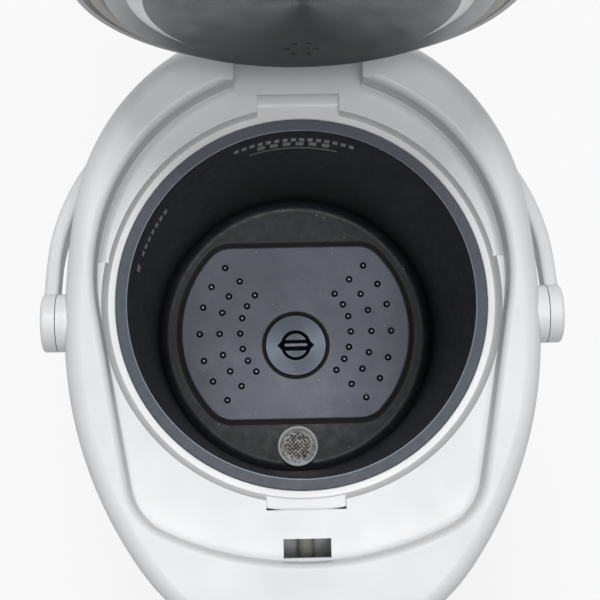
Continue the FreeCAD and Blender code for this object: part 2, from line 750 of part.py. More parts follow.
def make_boiling_plate():
    plate = plate_outline(POT_FLOOR_Z, PLATE_Z)
    plate = plate.makeFillet(PLATE_ROUND, edges_at(plate, PLATE_Z))
    hole = rod(CAP_RADIUS + CAP_GROOVE, at(0, CAP_Y, POT_FLOOR_Z), at(0, CAP_Y, PLATE_Z + 1))
    plate = plate.cut(hole)
    ball = (NUB_RADIUS**2 + NUB_HEIGHT**2) / (2 * NUB_HEIGHT)
    dome = turned_dome(NUB_RADIUS, NUB_HEIGHT, ball)
    nubs = [dome.translated(at(x, y, PLATE_Z)) for x, y in nub_places()]
    return joined(plate, *nubs)


def make_plate_seal():
    ring = plate_outline(POT_FLOOR_Z, POT_FLOOR_Z + CHANNEL_LIP, PLATE_CHANNEL)
    return ring.cut(plate_outline(POT_FLOOR_Z - 1, PLATE_Z, 0.0))


def make_cap_seal():
    """The dark ring in the groove round the cap."""
    start = at(0, CAP_Y, POT_FLOOR_Z)
    end = at(0, CAP_Y, POT_FLOOR_Z + CHANNEL_LIP)
    return pipe(CAP_RADIUS + CAP_GROOVE, CAP_RADIUS + CAP_SEAL_GAP, start, end)


def pointed_bar(shoulder, width, z):
    """The grip bar's outline: straight sides and an arrow point at each end."""
    tip = shoulder + width / 2
    corners = [
        at(-tip, CAP_Y, z),
        at(-shoulder, CAP_Y - width / 2, z),
        at(shoulder, CAP_Y - width / 2, z),
        at(tip, CAP_Y, z),
        at(shoulder, CAP_Y + width / 2, z),
        at(-shoulder, CAP_Y + width / 2, z),
    ]
    return Part.makePolygon(corners + corners[:1])


def make_plate_cap():
    """The round cap with a finger scoop and a grip bar across it, turned by hand."""
    low = POT_FLOOR_Z + RUNNING_GAP
    cap = rod(CAP_RADIUS, at(0, CAP_Y, low), at(0, CAP_Y, PLATE_Z))
    cap = cap.makeFillet(CAP_ROUND, edges_at(cap, PLATE_Z))
    root_z = PLATE_Z - CAP_SCOOP_DEPTH
    scoop = Part.makeCone(
        CAP_SCOOP_RADIUS - CAP_SCOOP_TAPER, CAP_SCOOP_RADIUS, CAP_SCOOP_DEPTH, at(0, CAP_Y, root_z)
    )
    stem = rod(CAP_STEM_RADIUS - RUNNING_GAP, at(0, CAP_Y, UNDERSIDE_Z), at(0, CAP_Y, low + 1))
    shoulder = (GRIP_LENGTH - GRIP_WIDTH) / 2
    root = Part.Face(pointed_bar(shoulder, GRIP_WIDTH, root_z)).extrude(at(0, 0, CAP_SCOOP_DEPTH))
    foot = pointed_bar(shoulder, GRIP_WIDTH, PLATE_Z)
    crest = pointed_bar(shoulder - GRIP_SLOPE, GRIP_CREST, PLATE_Z + GRIP_HEIGHT)
    grip = joined(root, Part.makeLoft([foot, crest], True, True))
    return joined(cap.cut(scoop), stem, grip)


def strainer_levels():
    """The rim's underside, its top, and the top of the mesh set inside it."""
    rim_z = POT_FLOOR_Z + STRAINER_RISE
    rim_top = rim_z + STRAINER_RIM
    return rim_z, rim_top, rim_top - STRAINER_SINK


def make_strainer_ring():
    """The rimmed cup that drops into the outlet, with an inner ledge for the mesh."""
    rim_z, rim_top, mesh_z = strainer_levels()
    wall = OUTLET_RADIUS - STRAINER_PLAY
    skin = STRAINER_SKIN
    low = POT_FLOOR_Z - STRAINER_DEPTH
    return turned(
        [
            (STRAINER_MESH_RADIUS, mesh_z - skin),
            (STRAINER_MESH_RADIUS, rim_top - skin),
            (STRAINER_MESH_RADIUS + skin, rim_top - skin),
            (STRAINER_RADIUS - skin, rim_top),
            (STRAINER_RADIUS, rim_top - skin / 2),
            (STRAINER_RADIUS, rim_z),
            (wall, rim_z),
            (wall, low),
            (wall - skin, low),
            (wall - skin, mesh_z - 3 * skin),
            (STRAINER_MESH_RADIUS - skin, mesh_z - 2 * skin),
            (STRAINER_MESH_RADIUS - skin, mesh_z - skin),
        ],
        OUTLET_Y,
    )


def make_strainer_mesh():
    """The perforated disc on the ring's ledge."""
    _, _, mesh_z = strainer_levels()
    radius = STRAINER_MESH_RADIUS - STRAINER_PLAY / 4
    disc = rod(radius, at(0, OUTLET_Y, mesh_z - STRAINER_SKIN), at(0, OUTLET_Y, mesh_z))
    cells = int(radius / STRAINER_PITCH)
    side = STRAINER_HOLE
    holes = []
    for i in range(-cells, cells + 1):
        for j in range(-cells, cells + 1):
            x = i * STRAINER_PITCH
            y = OUTLET_Y + j * STRAINER_PITCH
            if math.hypot(x, y - OUTLET_Y) < radius - STRAINER_PITCH / 2:
                holes.append(box(x - side, x + side, y - side, y + side, mesh_z - 1, mesh_z + 1))
    disc = disc.cut(Part.makeCompound(holes))
    disc.rotate(at(0, OUTLET_Y, 0), Z_AXIS, 45)
    return disc


def head_body():
    """The head's outside, rounded at the shoulder and the foot, with the nose cut back to its facet."""
    body = head_block(HEAD_Z, TOP_Z)
    body = body.makeFillet(SHOULDER_ROUND, edges_at(body, TOP_Z))
    body = body.makeFillet(HEAD_FOOT_ROUND, edges_at(body, HEAD_Z))
    return body.cut(facet_cutter())


def with_recess(body):
    """The head with the lid's recess sunk into it, deeper at the back, and the recess's rim rounded."""
    body = body.cut(recess_block(DECK_Z, TOP_Z + 1))
    crescent = recess_block(BACK_DECK_Z, DECK_Z + 1, CRESCENT_INSET)
    body = body.cut(crescent.common(box(-BIG, BIG, BACK_DECK_Y, BIG, 0, BIG)))
    near_recess = recess_block(TOP_Z - 1, TOP_Z + 1, -1.0)
    rim_edges = edges_at(
        body, TOP_Z, lambda edge: all(near_recess.isInside(v.Point, 0.01, True) for v in edge.Vertexes)
    )
    return body.makeFillet(RECESS_ROUND, rim_edges)


def hollowed(body):
    """The head with the room inside its rim and nose cleared, and the collar round the container left."""
    collar_radius = SEAT_RADIUS + RISER_RUN + COLLAR_WALL
    low = HEAD_Z - 2
    behind_facet = facet_cutter(HEAD_WALL)
    room = head_block(HEAD_Z - 1, TOP_Z - HEAD_ROOF, HEAD_WALL)
    rim_room = room.cut(recess_block(low, TOP_Z, -HEAD_WALL)).cut(behind_facet)
    low_room = head_block(HEAD_Z - 1, DECK_Z - DECK_THICKNESS, HEAD_WALL)
    collar = rod(collar_radius, at(0, 0, low), at(0, 0, DECK_Z))
    low_room = low_room.cut(collar).cut(behind_facet)
    below = rod(collar_radius + 1, at(0, 0, low), at(0, 0, SEAT_Z - COLLAR_DROP))
    return body.cut(rim_room).cut(low_room).cut(below)


def with_seat(body):
    """The head with the back notch's bed added, and the container's stepped seat and bore cut through."""
    seat = turned(
        [
            (0, SEAT_Z),
            (FLANGE_RADIUS + FLANGE_PLAY, SEAT_Z),
            (FLANGE_RADIUS + FLANGE_PLAY, LEDGE_Z),
            (SEAT_RADIUS, LEDGE_Z),
            (SEAT_RADIUS + RISER_RUN, DECK_Z),
            (SEAT_RADIUS + RISER_RUN, DECK_Z + 1),
            (0, DECK_Z + 1),
        ]
    )
    bore = rod(POT_OUTER + SHIELD_GAP, at(0, 0, HEAD_Z - 2), at(0, 0, SEAT_Z + 1))
    notch_bed = box(
        -BACK_NOTCH_HALF - HEAD_WALL,
        BACK_NOTCH_HALF + HEAD_WALL,
        POT_OUTER,
        BACK_NOTCH_Y + 2 * HEAD_WALL,
        LEDGE_Z - HEAD_WALL,
        BACK_DECK_Z,
    )
    return body.fuse(notch_bed).cut(seat).cut(bore)


def nose_pad():
    """The thick wall behind the control panel."""
    return box(
        -NOSE_PAD_HALF,
        NOSE_PAD_HALF,
        FACET_Y - NOSE_PAD_FRONT,
        FACET_Y + NOSE_PAD_BACK,
        HEAD_Z + NOSE_PAD_LIFT,
        TOP_Z - NOSE_PAD_DROP,
    )


def hinge_pad():
    """The block that carries the hinge pin behind the recess."""
    half = HINGE_HALF + HINGE_CHEEK
    return box(-half, half, BACK_NOTCH_Y + 3, HEAD_BACK_Y - 3, BACK_DECK_Z - HEAD_WALL, TOP_Z)


def handle_boss(side):
    inner = at(side * (HEAD_HALF_WIDTH - PIVOT_BOSS_ROOT), PIVOT_Y, PIVOT_Z)
    outer = at(side * (HEAD_HALF_WIDTH + PIVOT_BOSS), PIVOT_Y, PIVOT_Z)
    return rod(PIVOT_RADIUS, inner, outer)


def handle_bore(side):
    start = at(side * (HEAD_HALF_WIDTH - PIVOT_ROOT), PIVOT_Y, PIVOT_Z)
    end = at(side * (HEAD_HALF_WIDTH + PIVOT_BOSS + 5), PIVOT_Y, PIVOT_Z)
    return rod(PIVOT_PIN_RADIUS, start, end)


def front_notch():
    """The gap in the riser at the front."""
    back_y = FRONT_NOTCH_DEPTH - SEAT_RADIUS
    return box(
        -FRONT_NOTCH_HALF, FRONT_NOTCH_HALF, FRONT_NOTCH_Y, back_y, SEAT_Z + FRONT_NOTCH_RISE, DECK_Z + 1
    )


def hook_slot():
    """The slot in the deck whose back edge the lid's hook catches."""
    half = HOOK_HALF + 3
    back_y = HOOK_Y + HOOK_THICKNESS + HOOK_NOSE - HOOK_BITE
    return box(-half, half, HOOK_Y - 5, back_y, DECK_Z - DECK_THICKNESS - 1, DECK_Z + 1)


def make_head():
    """The white top housing: a hollow ring with the lid's recess, the container's seat and handle bosses."""
    skin = head_body()
    body = with_seat(hollowed(with_recess(skin)))
    for side in (-1, 1):
        body = body.fuse(handle_boss(side))
    back_pad = hinge_pad().common(skin).cut(recess_block(BACK_DECK_Z, TOP_Z + 1))
    body = body.fuse([nose_pad().common(skin), back_pad])
    pocket_back = HINGE_Y + HINGE_BARREL + HINGE_POCKET_GAP
    body = body.cut(box(-HINGE_HALF, HINGE_HALF, BACK_NOTCH_Y, pocket_back, BACK_DECK_Z, TOP_Z + 1))
    body = body.cut(make_hinge_pin())
    for side in (-1, 1):
        body = body.cut(handle_bore(side))
    body = body.cut(back_notch()).cut(front_notch()).cut(hook_slot())
    body = body.cut(on_facet(rounded_plate(PANEL_WIDTH, PANEL_HEIGHT, -PANEL_SINK, 20, PANEL_CORNER)))
    low, high = PANEL_WELL
    well = box(-PANEL_WELL_HALF_WIDTH, PANEL_WELL_HALF_WIDTH, low, high, -PANEL_WELL_DEPTH, 1)
    return body.cut(on_facet(well)).removeSplitter()


def back_notch():
    """The gap in the riser at the back: flat from the ledge, then coved up to the deck."""
    rise = BACK_DECK_Z - LEDGE_Z
    turn = BACK_NOTCH_Y - rise
    low = [at(0, FLANGE_RADIUS, LEDGE_Z), at(0, turn, LEDGE_Z)]
    half_rise = rise * math.sqrt(0.5)
    middle = at(0, turn + half_rise, BACK_DECK_Z - half_rise)
    end = at(0, BACK_NOTCH_Y, BACK_DECK_Z)
    high = [at(0, BACK_NOTCH_Y, DECK_Z + 1), at(0, FLANGE_RADIUS, DECK_Z + 1)]
    edges = [
        Part.LineSegment(low[0], low[1]),
        Part.Arc(low[1], middle, end),
        Part.LineSegment(end, high[0]),
        Part.LineSegment(high[0], high[1]),
        Part.LineSegment(high[1], low[0]),
    ]
    face = Part.Face(Part.Wire([edge.toShape() for edge in edges]))
    face.translate(at(-BACK_NOTCH_HALF, 0, 0))
    return face.extrude(at(2 * BACK_NOTCH_HALF, 0, 0))


def facet_cutter(inset=0.0):
    """Everything in front of the nose's sloping facet, or of a plane behind it."""
    block = box(-BIG, BIG, -BIG, 0, -BIG, BIG)
    block.rotate(at(0, 0, 0), X_AXIS, -FACET_DEG)
    block.translate(at(0, FACET_Y + inset, TOP_Z - FACET_REF_DROP))
    return block


def make_head_underside():
    """The plate that closes the head from below, round the casing and the spout."""
    low = HEAD_Z + UNDERSIDE_LIFT
    high = low + UNDERSIDE_THICKNESS
    plate = head_block(low, high, HEAD_WALL + UNDERSIDE_GAP)
    plate = plate.cut(facet_cutter(HEAD_WALL + UNDERSIDE_FACET_GAP))
    plate = plate.cut(casing_block(low - 1, high + 1, -UNDERSIDE_GAP))
    hole = rod(SPOUT_RADIUS + UNDERSIDE_GAP, at(0, SPOUT_Y, low - 1), at(0, SPOUT_Y, high + 1))
    return plate.cut(hole)


def gauge_block(gap, front_y, back_y, corner_cut):
    """The gauge window's shape as a block through the casing's flat front."""
    half = GAUGE_WINDOW_HALF - gap
    block = box(-half, half, front_y, back_y, GAUGE_WINDOW_Z0 + gap, GAUGE_WINDOW_Z1 - gap)
    corners = [e for e in block.Edges if abs(e.BoundBox.YLength - (back_y - front_y)) < 1e-6]
    return block.makeFillet(GAUGE_WINDOW_HALF - corner_cut, corners)


def make_casing():
    wall = casing_block(CASING_BOTTOM_Z, CASING_TOP_Z)
    wall = wall.cut(casing_block(CASING_BOTTOM_Z - 1, CASING_TOP_Z + 1, CASING_WALL))
    back_y = CASING_FLAT_Y + CASING_WALL
    wall = wall.cut(gauge_block(0.0, CASING_FLAT_Y - 1, back_y + 1, GAUGE_CORNER_CUT))
    half = INLET_WIDTH / 2
    rise = INLET_HEIGHT / 2
    inlet = box(-half, half, CASING_RADIUS - 12, CASING_RADIUS + 2, INLET_Z - rise, INLET_Z + rise)
    return wall.cut(inlet)


def make_gauge_lens():
    """The clear strip that fills the window, with a rim behind the casing."""
    inside_y = CASING_FLAT_Y + CASING_WALL
    back_y = inside_y + GAUGE_LAP
    strip = gauge_block(GAUGE_GAP, CASING_FLAT_Y - GAUGE_PROUD, back_y, GAUGE_LENS_CORNER_CUT)
    half = GAUGE_WINDOW_HALF + GAUGE_RIM_SIDE
    low = GAUGE_WINDOW_Z0 - GAUGE_RIM_END
    high = GAUGE_WINDOW_Z1 + GAUGE_RIM_END
    return joined(strip, box(-half, half, inside_y, back_y, low, high))


def make_base():
    """The base pan, with a raised lip inside the casing, bosses for the screws and slots for air."""
    low = FOOT_HEIGHT
    top = low + BASE_HEIGHT
    floor = low + BASE_WALL
    pan = Part.makeCylinder(BASE_RADIUS, CASING_BOTTOM_Z - low, at(0, 0, low))
    pan = pan.makeFillet(BASE_ROUND, edges_at(pan, low))
    lip = casing_block(floor, top, CASING_WALL + CASING_FIT)
    pan = joined(pan, lip)
    pan = pan.cut(casing_block(floor, top + 1, CASING_WALL + CASING_FIT + BASE_WALL))
    for x, y in circle_points(FOOT_COUNT, FOOT_CIRCLE, 0, FOOT_FIRST_DEG):
        pan = pan.cut(rod(FOOT_RADIUS - FOOT_PLUG_DRAW, at(x, y, low - 1), at(x, y, low + FOOT_PLUG_RISE)))
    for x, y in circle_points(FOOT_COUNT, SCREW_CIRCLE, 0, FOOT_FIRST_DEG):
        pan = pan.fuse(rod(SCREW_BOSS_RADIUS, at(x, y, low + BASE_WALL / 2), at(x, y, top)))
        pan = pan.cut(rod(SCREW_RADIUS, at(x, y, low - 1), at(x, y, top + 1)))
    front, back = AIR_SLOT_Y
    for i in range(AIR_SLOTS):
        x = (i - (AIR_SLOTS - 1) / 2) * AIR_SLOT_PITCH
        pan = pan.cut(box(x - AIR_SLOT_HALF, x + AIR_SLOT_HALF, front, back, low - 1, floor + 1))
    return pan.removeSplitter()


def make_feet():
    plug_radius = FOOT_RADIUS - FOOT_PLUG_DRAW - FOOT_PLUG_GAP
    feet = []
    for x, y in circle_points(FOOT_COUNT, FOOT_CIRCLE, 0, FOOT_FIRST_DEG):
        foot = rod(FOOT_RADIUS, at(x, y, 0), at(x, y, FOOT_HEIGHT))
        foot = foot.makeFillet(FOOT_ROUND, edges_at(foot, 0))
        plug = rod(plug_radius, at(x, y, FOOT_ROUND), at(x, y, FOOT_HEIGHT + FOOT_PLUG_RISE))
        feet.append(joined(foot, plug))
    return Part.makeCompound(feet)


def make_base_screws():
    screws = []
    for x, y in circle_points(FOOT_COUNT, SCREW_CIRCLE, 0, FOOT_FIRST_DEG):
        head = rod(SCREW_HEAD_RADIUS, at(x, y, FOOT_HEIGHT - SCREW_HEAD), at(x, y, FOOT_HEIGHT))
        shank = rod(SCREW_RADIUS, at(x, y, FOOT_HEIGHT - 1), at(x, y, FOOT_HEIGHT + SCREW_LENGTH))
        screws.append(head.fuse(shank))
    return Part.makeCompound(screws)


def hook_opening(z0, z1):
    """The opening in the lid that the latch's hook swings in."""
    half = HOOK_HALF + HOOK_SIDE_GAP
    return box(-half, half, HOOK_Y - HOOK_SWING, HOOK_Y + HOOK_THICKNESS + HOOK_SIDE_GAP, z0, z1)


def crown_sphere(drop=0.0):
    """The large ball whose top is the lid's crown, or its hollow's roof."""
    middle_y = (RECESS_FRONT_Y + RECESS_BACK_Y) / 2
    return Part.makeSphere(LID_CROWN_RADIUS - drop, at(0, middle_y, LID_CROWN_Z - LID_CROWN_RADIUS))


def lever_box(side_gap, end_gap, z0, z1):
    """The lever's plan with room round it, as an upright block."""
    half = LEVER_HALF + side_gap
    return box(-half, half, LEVER_FRONT_Y - end_gap, LEVER_BACK_Y + end_gap, z0, z1)


def with_hinge(shell):
    """The lid shell with the hinge's arm and bored barrel at the back."""
    half = HINGE_HALF - SIDE_GAP
    barrel = rod(HINGE_BARREL, at(-half, HINGE_Y, HINGE_Z), at(half, HINGE_Y, HINGE_Z))
    front_y = RECESS_BACK_Y - LID_GAP - HINGE_ARM_ROOT
    arm = box(-half, half, front_y, HINGE_Y, HINGE_Z - HINGE_BARREL, HINGE_Z + HINGE_BARREL)
    shell = shell.fuse([barrel, arm])
    return shell.cut(
        rod(HINGE_PIN_RADIUS + RUNNING_GAP, at(-half - 1, HINGE_Y, HINGE_Z), at(half + 1, HINGE_Y, HINGE_Z))
    )


def with_vent(shell):
    """The lid shell with the steam vent's seat, and the hole through it."""
    crown = LID_CROWN_Z
    seat = rod(VENT_RADIUS + VENT_RIM, at(0, VENT_Y, TOP_Z - DUCT_TOP_DROP), at(0, VENT_Y, crown + 1))
    shell = shell.fuse(seat.common(crown_sphere()))
    shell = shell.cut(rod(VENT_RADIUS + VENT_GAP, at(0, VENT_Y, TOP_Z - 1), at(0, VENT_Y, crown + 1)))
    return shell.cut(rod(BALL_SEAT, at(0, VENT_Y, TOP_Z - 8), at(0, VENT_Y, crown)))


def make_lid_shell():
    """The lid's white outer shell: crowned and hollow, with the hinge barrel, lever pocket and vent seat."""
    low = LID_LOW_Z
    shell = recess_block(low, LID_CROWN_Z + 1, LID_GAP).common(crown_sphere())
    top_edges = [e for e in shell.Edges if e.BoundBox.ZMin > TOP_Z - 6]
    shell = shell.makeFillet(LID_EDGE_ROUND, top_edges)
    room = recess_block(low - 1, LID_CROWN_Z + 1, LID_GAP + LID_WALL).common(crown_sphere(LID_WALL))
    tray = lever_box(LEVER_TRAY_WALL, LEVER_TRAY_WALL, TOP_Z - LEVER_SINK - 2 * LEVER_TRAY_WALL, LID_CROWN_Z)
    shell = shell.cut(room.cut(tray))
    shell = shell.cut(lever_box(LEVER_GAP, LEVER_FRONT_GAP, TOP_Z - LEVER_SINK, LID_CROWN_Z + 1))
    shell = shell.cut(hook_opening(low - 1, TOP_Z))
    pin_end = LEVER_HALF + LEVER_PIN_ROOT
    shell = shell.cut(
        rod(LEVER_PIN_RADIUS, at(-pin_end, LEVER_PIN_Y, LEVER_PIN_Z), at(pin_end, LEVER_PIN_Y, LEVER_PIN_Z))
    )
    return with_vent(with_hinge(shell)).removeSplitter()


def make_lid_under():
    """The lid's lower cover, which carries the gasket over the container's mouth."""
    low = LID_LOW_Z
    drum_z = RIM_Z + PLUG_RISE
    plate = recess_block(low, low + COVER_THICKNESS, LID_GAP + LID_WALL + COVER_GAP)
    drum = Part.makeCylinder(GASKET_RADIUS + GASKET_LAND, low + 1 - drum_z, at(0, 0, drum_z))
    under = joined(plate, drum)
    under = under.cut(Part.makeCylinder(PLUG_RADIUS - DRUM_WALL, 40, at(0, 0, RIM_Z + 2)))
    lap_radius = PLUG_RADIUS - DRUM_WALL + 1
    under = joined(under, Part.makeCylinder(lap_radius, COVER_THICKNESS, at(0, 0, low)))
    under = under.cut(hook_opening(low - 1, TOP_Z))
    return under.cut(rod(BALL_SEAT, at(0, VENT_Y, low - 1), at(0, VENT_Y, low + 5)))


def make_lid_gasket():
    """The silicone ring that presses on the container's flange."""
    low = RIM_Z + GASKET_NIP
    top = low + GASKET_HEIGHT
    outer = GASKET_RADIUS
    inner = PLUG_RADIUS + GASKET_INNER_GAP
    inner_run, inner_rise = GASKET_INNER_BEVEL
    outer_run, outer_rise = GASKET_OUTER_BEVEL
    return turned(
        [
            (inner, top),
            (inner, low + inner_rise),
            (inner + inner_run, low),
            (outer - outer_run, low),
            (outer, low + outer_rise),
            (outer, top),
        ]
    )


def make_inner_lid():
    """The dished steel cover over the water, with steam holes."""
    top = RIM_Z + PLUG_RISE
    low = RIM_Z - PLUG_DEPTH
    sheet = INNER_LID_SHEET
    step = low + INNER_LID_STEP
    dish = turned(
        [
            (0, low + sheet),
            (PLUG_RADIUS - INNER_LID_DISH, low + sheet),
            (PLUG_RADIUS - INNER_LID_SLOPE, step + sheet),
            (PLUG_RADIUS - sheet, step + sheet),
            (PLUG_RADIUS - sheet, top),
            (PLUG_RADIUS, top),
            (PLUG_RADIUS, step),
            (PLUG_RADIUS - INNER_LID_SLOPE + INNER_LID_MITRE, step),
            (PLUG_RADIUS - INNER_LID_DISH + INNER_LID_MITRE, low),
            (0, low),
        ]
    )
    places = circle_points(3, PLUG_RADIUS - PLUG_POST_INSET, 0, 90)
    posts = [rod(PLUG_POST_RADIUS, at(x, y, step + sheet / 2), at(x, y, top)) for x, y in places]
    dish = joined(dish, *posts)
    for x, y in circle_points(6, STEAM_HOLE_CIRCLE, VENT_Y, 0):
        dish = dish.cut(rod(STEAM_HOLE_RADIUS, at(x, y, low - 1), at(x, y, low + sheet + 1)))
    return dish


def make_vent_cap():
    """The round steam outlet on top of the lid, with five slots."""
    top = LID_CROWN_Z - VENT_SINK
    cap = rod(VENT_RADIUS, at(0, VENT_Y, TOP_Z - 1), at(0, VENT_Y, top))
    cap = cap.makeFillet(VENT_ROUND, edges_at(cap, top))
    room = rod(VENT_RADIUS - VENT_WALL, at(0, VENT_Y, TOP_Z - 2), at(0, VENT_Y, top - VENT_WALL))
    cap = cap.cut(room)
    reach = VENT_SLOT_HALF_LENGTH
    half = VENT_SLOT_HALF_WIDTH
    for i in range(-2, 3):
        y = VENT_Y + i * VENT_SLOT_PITCH
        cap = cap.cut(box(-reach, reach, y - half, y + half, TOP_Z, top + 1))
    return cap


def make_steam_duct():
    start = at(0, VENT_Y, LID_LOW_Z + COVER_THICKNESS)
    return pipe(DUCT_BORE + DUCT_WALL, DUCT_BORE, start, at(0, VENT_Y, TOP_Z - DUCT_TOP_DROP))


def make_steam_ball():
    """The tip-over ball in the steam duct, lying against its upper seat while the lid stands open."""
    seat_drop = math.sqrt(BALL_RADIUS**2 - BALL_SEAT**2) + BALL_GAP
    return Part.makeSphere(BALL_RADIUS, at(0, VENT_Y, TOP_Z - DUCT_TOP_DROP - seat_drop))


def make_lever():
    """The latch lever in the lid's pocket, in one piece with its hook."""
    top = TOP_Z + LEVER_RISE
    half = LEVER_HALF
    plate = box(-half, half, LEVER_FRONT_Y, LEVER_BACK_Y - LEVER_GAP, top - LEVER_THICKNESS, top)
    plate = plate.makeFillet(LEVER_CORNER, [e for e in plate.Edges if is_upright(e, LEVER_THICKNESS)])
    plate = plate.makeFillet(LEVER_ROUND, edges_at(plate, top))
    barrel = rod(LEVER_BARREL, at(-half, LEVER_PIN_Y, LEVER_PIN_Z), at(half, LEVER_PIN_Y, LEVER_PIN_Z))
    hook_back = HOOK_Y + HOOK_THICKNESS
    hook_low = DECK_Z - DECK_THICKNESS - HOOK_DROP
    blade = box(-HOOK_HALF, HOOK_HALF, HOOK_Y, hook_back, hook_low, top - 1)
    nose_top = DECK_Z - DECK_THICKNESS - HOOK_NIP
    corners = [
        at(-HOOK_HALF, hook_back, nose_top),
        at(-HOOK_HALF, hook_back + HOOK_NOSE, nose_top),
        at(-HOOK_HALF, hook_back, hook_low),
    ]
    nose = Part.Face(Part.makePolygon(corners + corners[:1])).extrude(at(2 * HOOK_HALF, 0, 0))
    lever = joined(plate, barrel, blade, nose)
    bore_start = at(-BIG, LEVER_PIN_Y, LEVER_PIN_Z)
    return lever.cut(rod(LEVER_PIN_RADIUS + RUNNING_GAP, bore_start, at(BIG, LEVER_PIN_Y, LEVER_PIN_Z)))


def make_lever_pin():
    end = LEVER_HALF + LEVER_PIN_ROOT - LEVER_PIN_END_GAP
    return rod(LEVER_PIN_RADIUS, at(-end, LEVER_PIN_Y, LEVER_PIN_Z), at(end, LEVER_PIN_Y, LEVER_PIN_Z))


def make_lid_screws():
    across, along = (FLANGE_RADIUS - margin for margin in LID_SCREW_BACK_MARGINS)
    front = FLANGE_RADIUS - LID_SCREW_FRONT_MARGIN
    screws = []
    for x, y in ((-across, along), (across, along), (-front, -front), (front, -front)):
        screws.append(rod(LID_SCREW_RADIUS, at(x, y, LID_LOW_Z - LID_SCREW_HEAD), at(x, y, LID_LOW_Z)))
    return Part.makeCompound(screws)


def handle_outline(inner):
    """One side of the bail's plan: straight arms, then round at the back."""
    half = HANDLE_INNER_X + (0.0 if inner else HANDLE_THICKNESS)
    reach = HANDLE_REACH - (GRIP_THICKNESS if inner else 0.0)
    end_radius = HANDLE_BACK_RADIUS - (GRIP_DRAW if inner else 0.0)
    offset = reach - HANDLE_STRAIGHT - end_radius
    side_radius = (half**2 + offset**2 - end_radius**2) / (2 * (half - end_radius))
    turn = math.atan2(offset, side_radius - half)
    end_centre = reach - end_radius
    meet = at(end_radius * math.cos(turn), end_centre + end_radius * math.sin(turn), 0)
    middle = at(
        half - side_radius + side_radius * math.cos(turn / 2),
        HANDLE_STRAIGHT + side_radius * math.sin(turn / 2),
        0,
    )
    bend = at(half, HANDLE_STRAIGHT, 0)
    foot = at(half, 0, 0)

    def mirror(p):
        return at(-p.x, p.y, 0)

    return [
        Part.LineSegment(foot, bend),
        Part.Arc(bend, middle, meet),
        Part.Arc(meet, at(0, reach, 0), mirror(meet)),
        Part.Arc(mirror(meet), mirror(middle), mirror(bend)),
        Part.LineSegment(mirror(bend), mirror(foot)),
    ]


def make_handle():
    outer = handle_outline(False)
    inner = handle_outline(True)
    outer_x = HANDLE_OUTER_X
    inner_x = HANDLE_INNER_X
    edges = [edge.toShape() for edge in outer + inner]
    edges.append(Part.LineSegment(at(outer_x, 0, 0), at(inner_x, 0, 0)).toShape())
    edges.append(Part.LineSegment(at(-outer_x, 0, 0), at(-inner_x, 0, 0)).toShape())
    wire = Part.Wire(Part.__sortEdges__(edges))
    half_depth = HANDLE_DEPTH / 2
    bail = Part.Face(wire).extrude(at(0, 0, HANDLE_DEPTH))
    bail.translate(at(0, 0, -half_depth))
    long_edges = edges_at(bail, half_depth) + edges_at(bail, -half_depth)
    bail = bail.makeFillet(HANDLE_ROUND, [e for e in long_edges if e.BoundBox.YMax > 1.0])
    for side in (-1, 1):
        disc = rod(PIVOT_RADIUS, at(side * inner_x, 0, 0), at(side * outer_x, 0, 0))
        rim = [e for e in disc.Edges if all(abs(v.X - side * outer_x) < 1e-3 for v in e.Vertexes)]
        bail = bail.fuse(disc.makeFillet(PIVOT_ROUND, rim))
    blind = outer_x - PIVOT_SKIN
    bore = rod(PIVOT_PIN_RADIUS + RUNNING_GAP, at(-blind, 0, 0), at(blind, 0, 0))
    return bail.cut(bore).removeSplitter()


def make_pivot_pins():
    """Two headless pins, each through a head boss and a handle end."""
    root = HEAD_HALF_WIDTH - PIVOT_ROOT
    tip = HANDLE_OUTER_X - PIVOT_SKIN - PIVOT_PIN_GAP
    pins = []
    for side in (-1, 1):
        start = at(side * root, PIVOT_Y, PIVOT_Z)
        pins.append(rod(PIVOT_PIN_RADIUS, start, at(side * tip, PIVOT_Y, PIVOT_Z)))
    return Part.makeCompound(pins)


def plate_at(x, y, width, height, z0, z1, corner):
    plate = rounded_plate(width, height, z0, z1, corner)
    plate.translate(at(x, y, 0))
    return plate


def button_plate(place, grow, z0, z1):
    x, y, width, height = place
    return plate_at(x, y, width + 2 * grow, height + 2 * grow, z0, z1, BUTTON_CORNER + grow)


def make_panel():
    """The dark bezel on the nose, with an opening for each button and a seat for the display window."""
    width = PANEL_WIDTH - 2 * PANEL_GAP
    height = PANEL_HEIGHT - 2 * PANEL_GAP
    panel = rounded_plate(width, height, -PANEL_SINK, PANEL_TOP, PANEL_CORNER - PANEL_GAP)
    panel = panel.makeFillet(PANEL_ROUND, edges_at(panel, PANEL_TOP))
    for place in BUTTONS.values():
        panel = panel.cut(button_plate(place, BUTTON_GAP, -5, 5))
    low = PANEL_TOP - DISPLAY_DEPTH
    return panel.cut(plate_at(0, DISPLAY_Y, DISPLAY_WIDTH, DISPLAY_HEIGHT, low, 5, DISPLAY_CORNER))


def make_display():
    low = PANEL_TOP - DISPLAY_DEPTH
    high = PANEL_TOP + DISPLAY_PROUD
    width = DISPLAY_WIDTH - 2 * DISPLAY_GAP
    height = DISPLAY_HEIGHT - 2 * DISPLAY_GAP
    return plate_at(0, DISPLAY_Y, width, height, low, high, DISPLAY_CORNER - DISPLAY_GAP)


def make_button(place):
    """A button cap with the stem that presses its switch."""
    top = PANEL_TOP + BUTTON_PROUD
    cap = button_plate(place, 0.0, -PANEL_SINK - BUTTON_SKIRT, top)
    cap = cap.makeFillet(BUTTON_ROUND, edges_at(cap, top))
    x, y, _, _ = place
    stem = rod(BUTTON_STEM_RADIUS, at(x, y, -PANEL_SINK - BUTTON_STEM), at(x, y, -PANEL_SINK - 1))
    return joined(cap, stem)


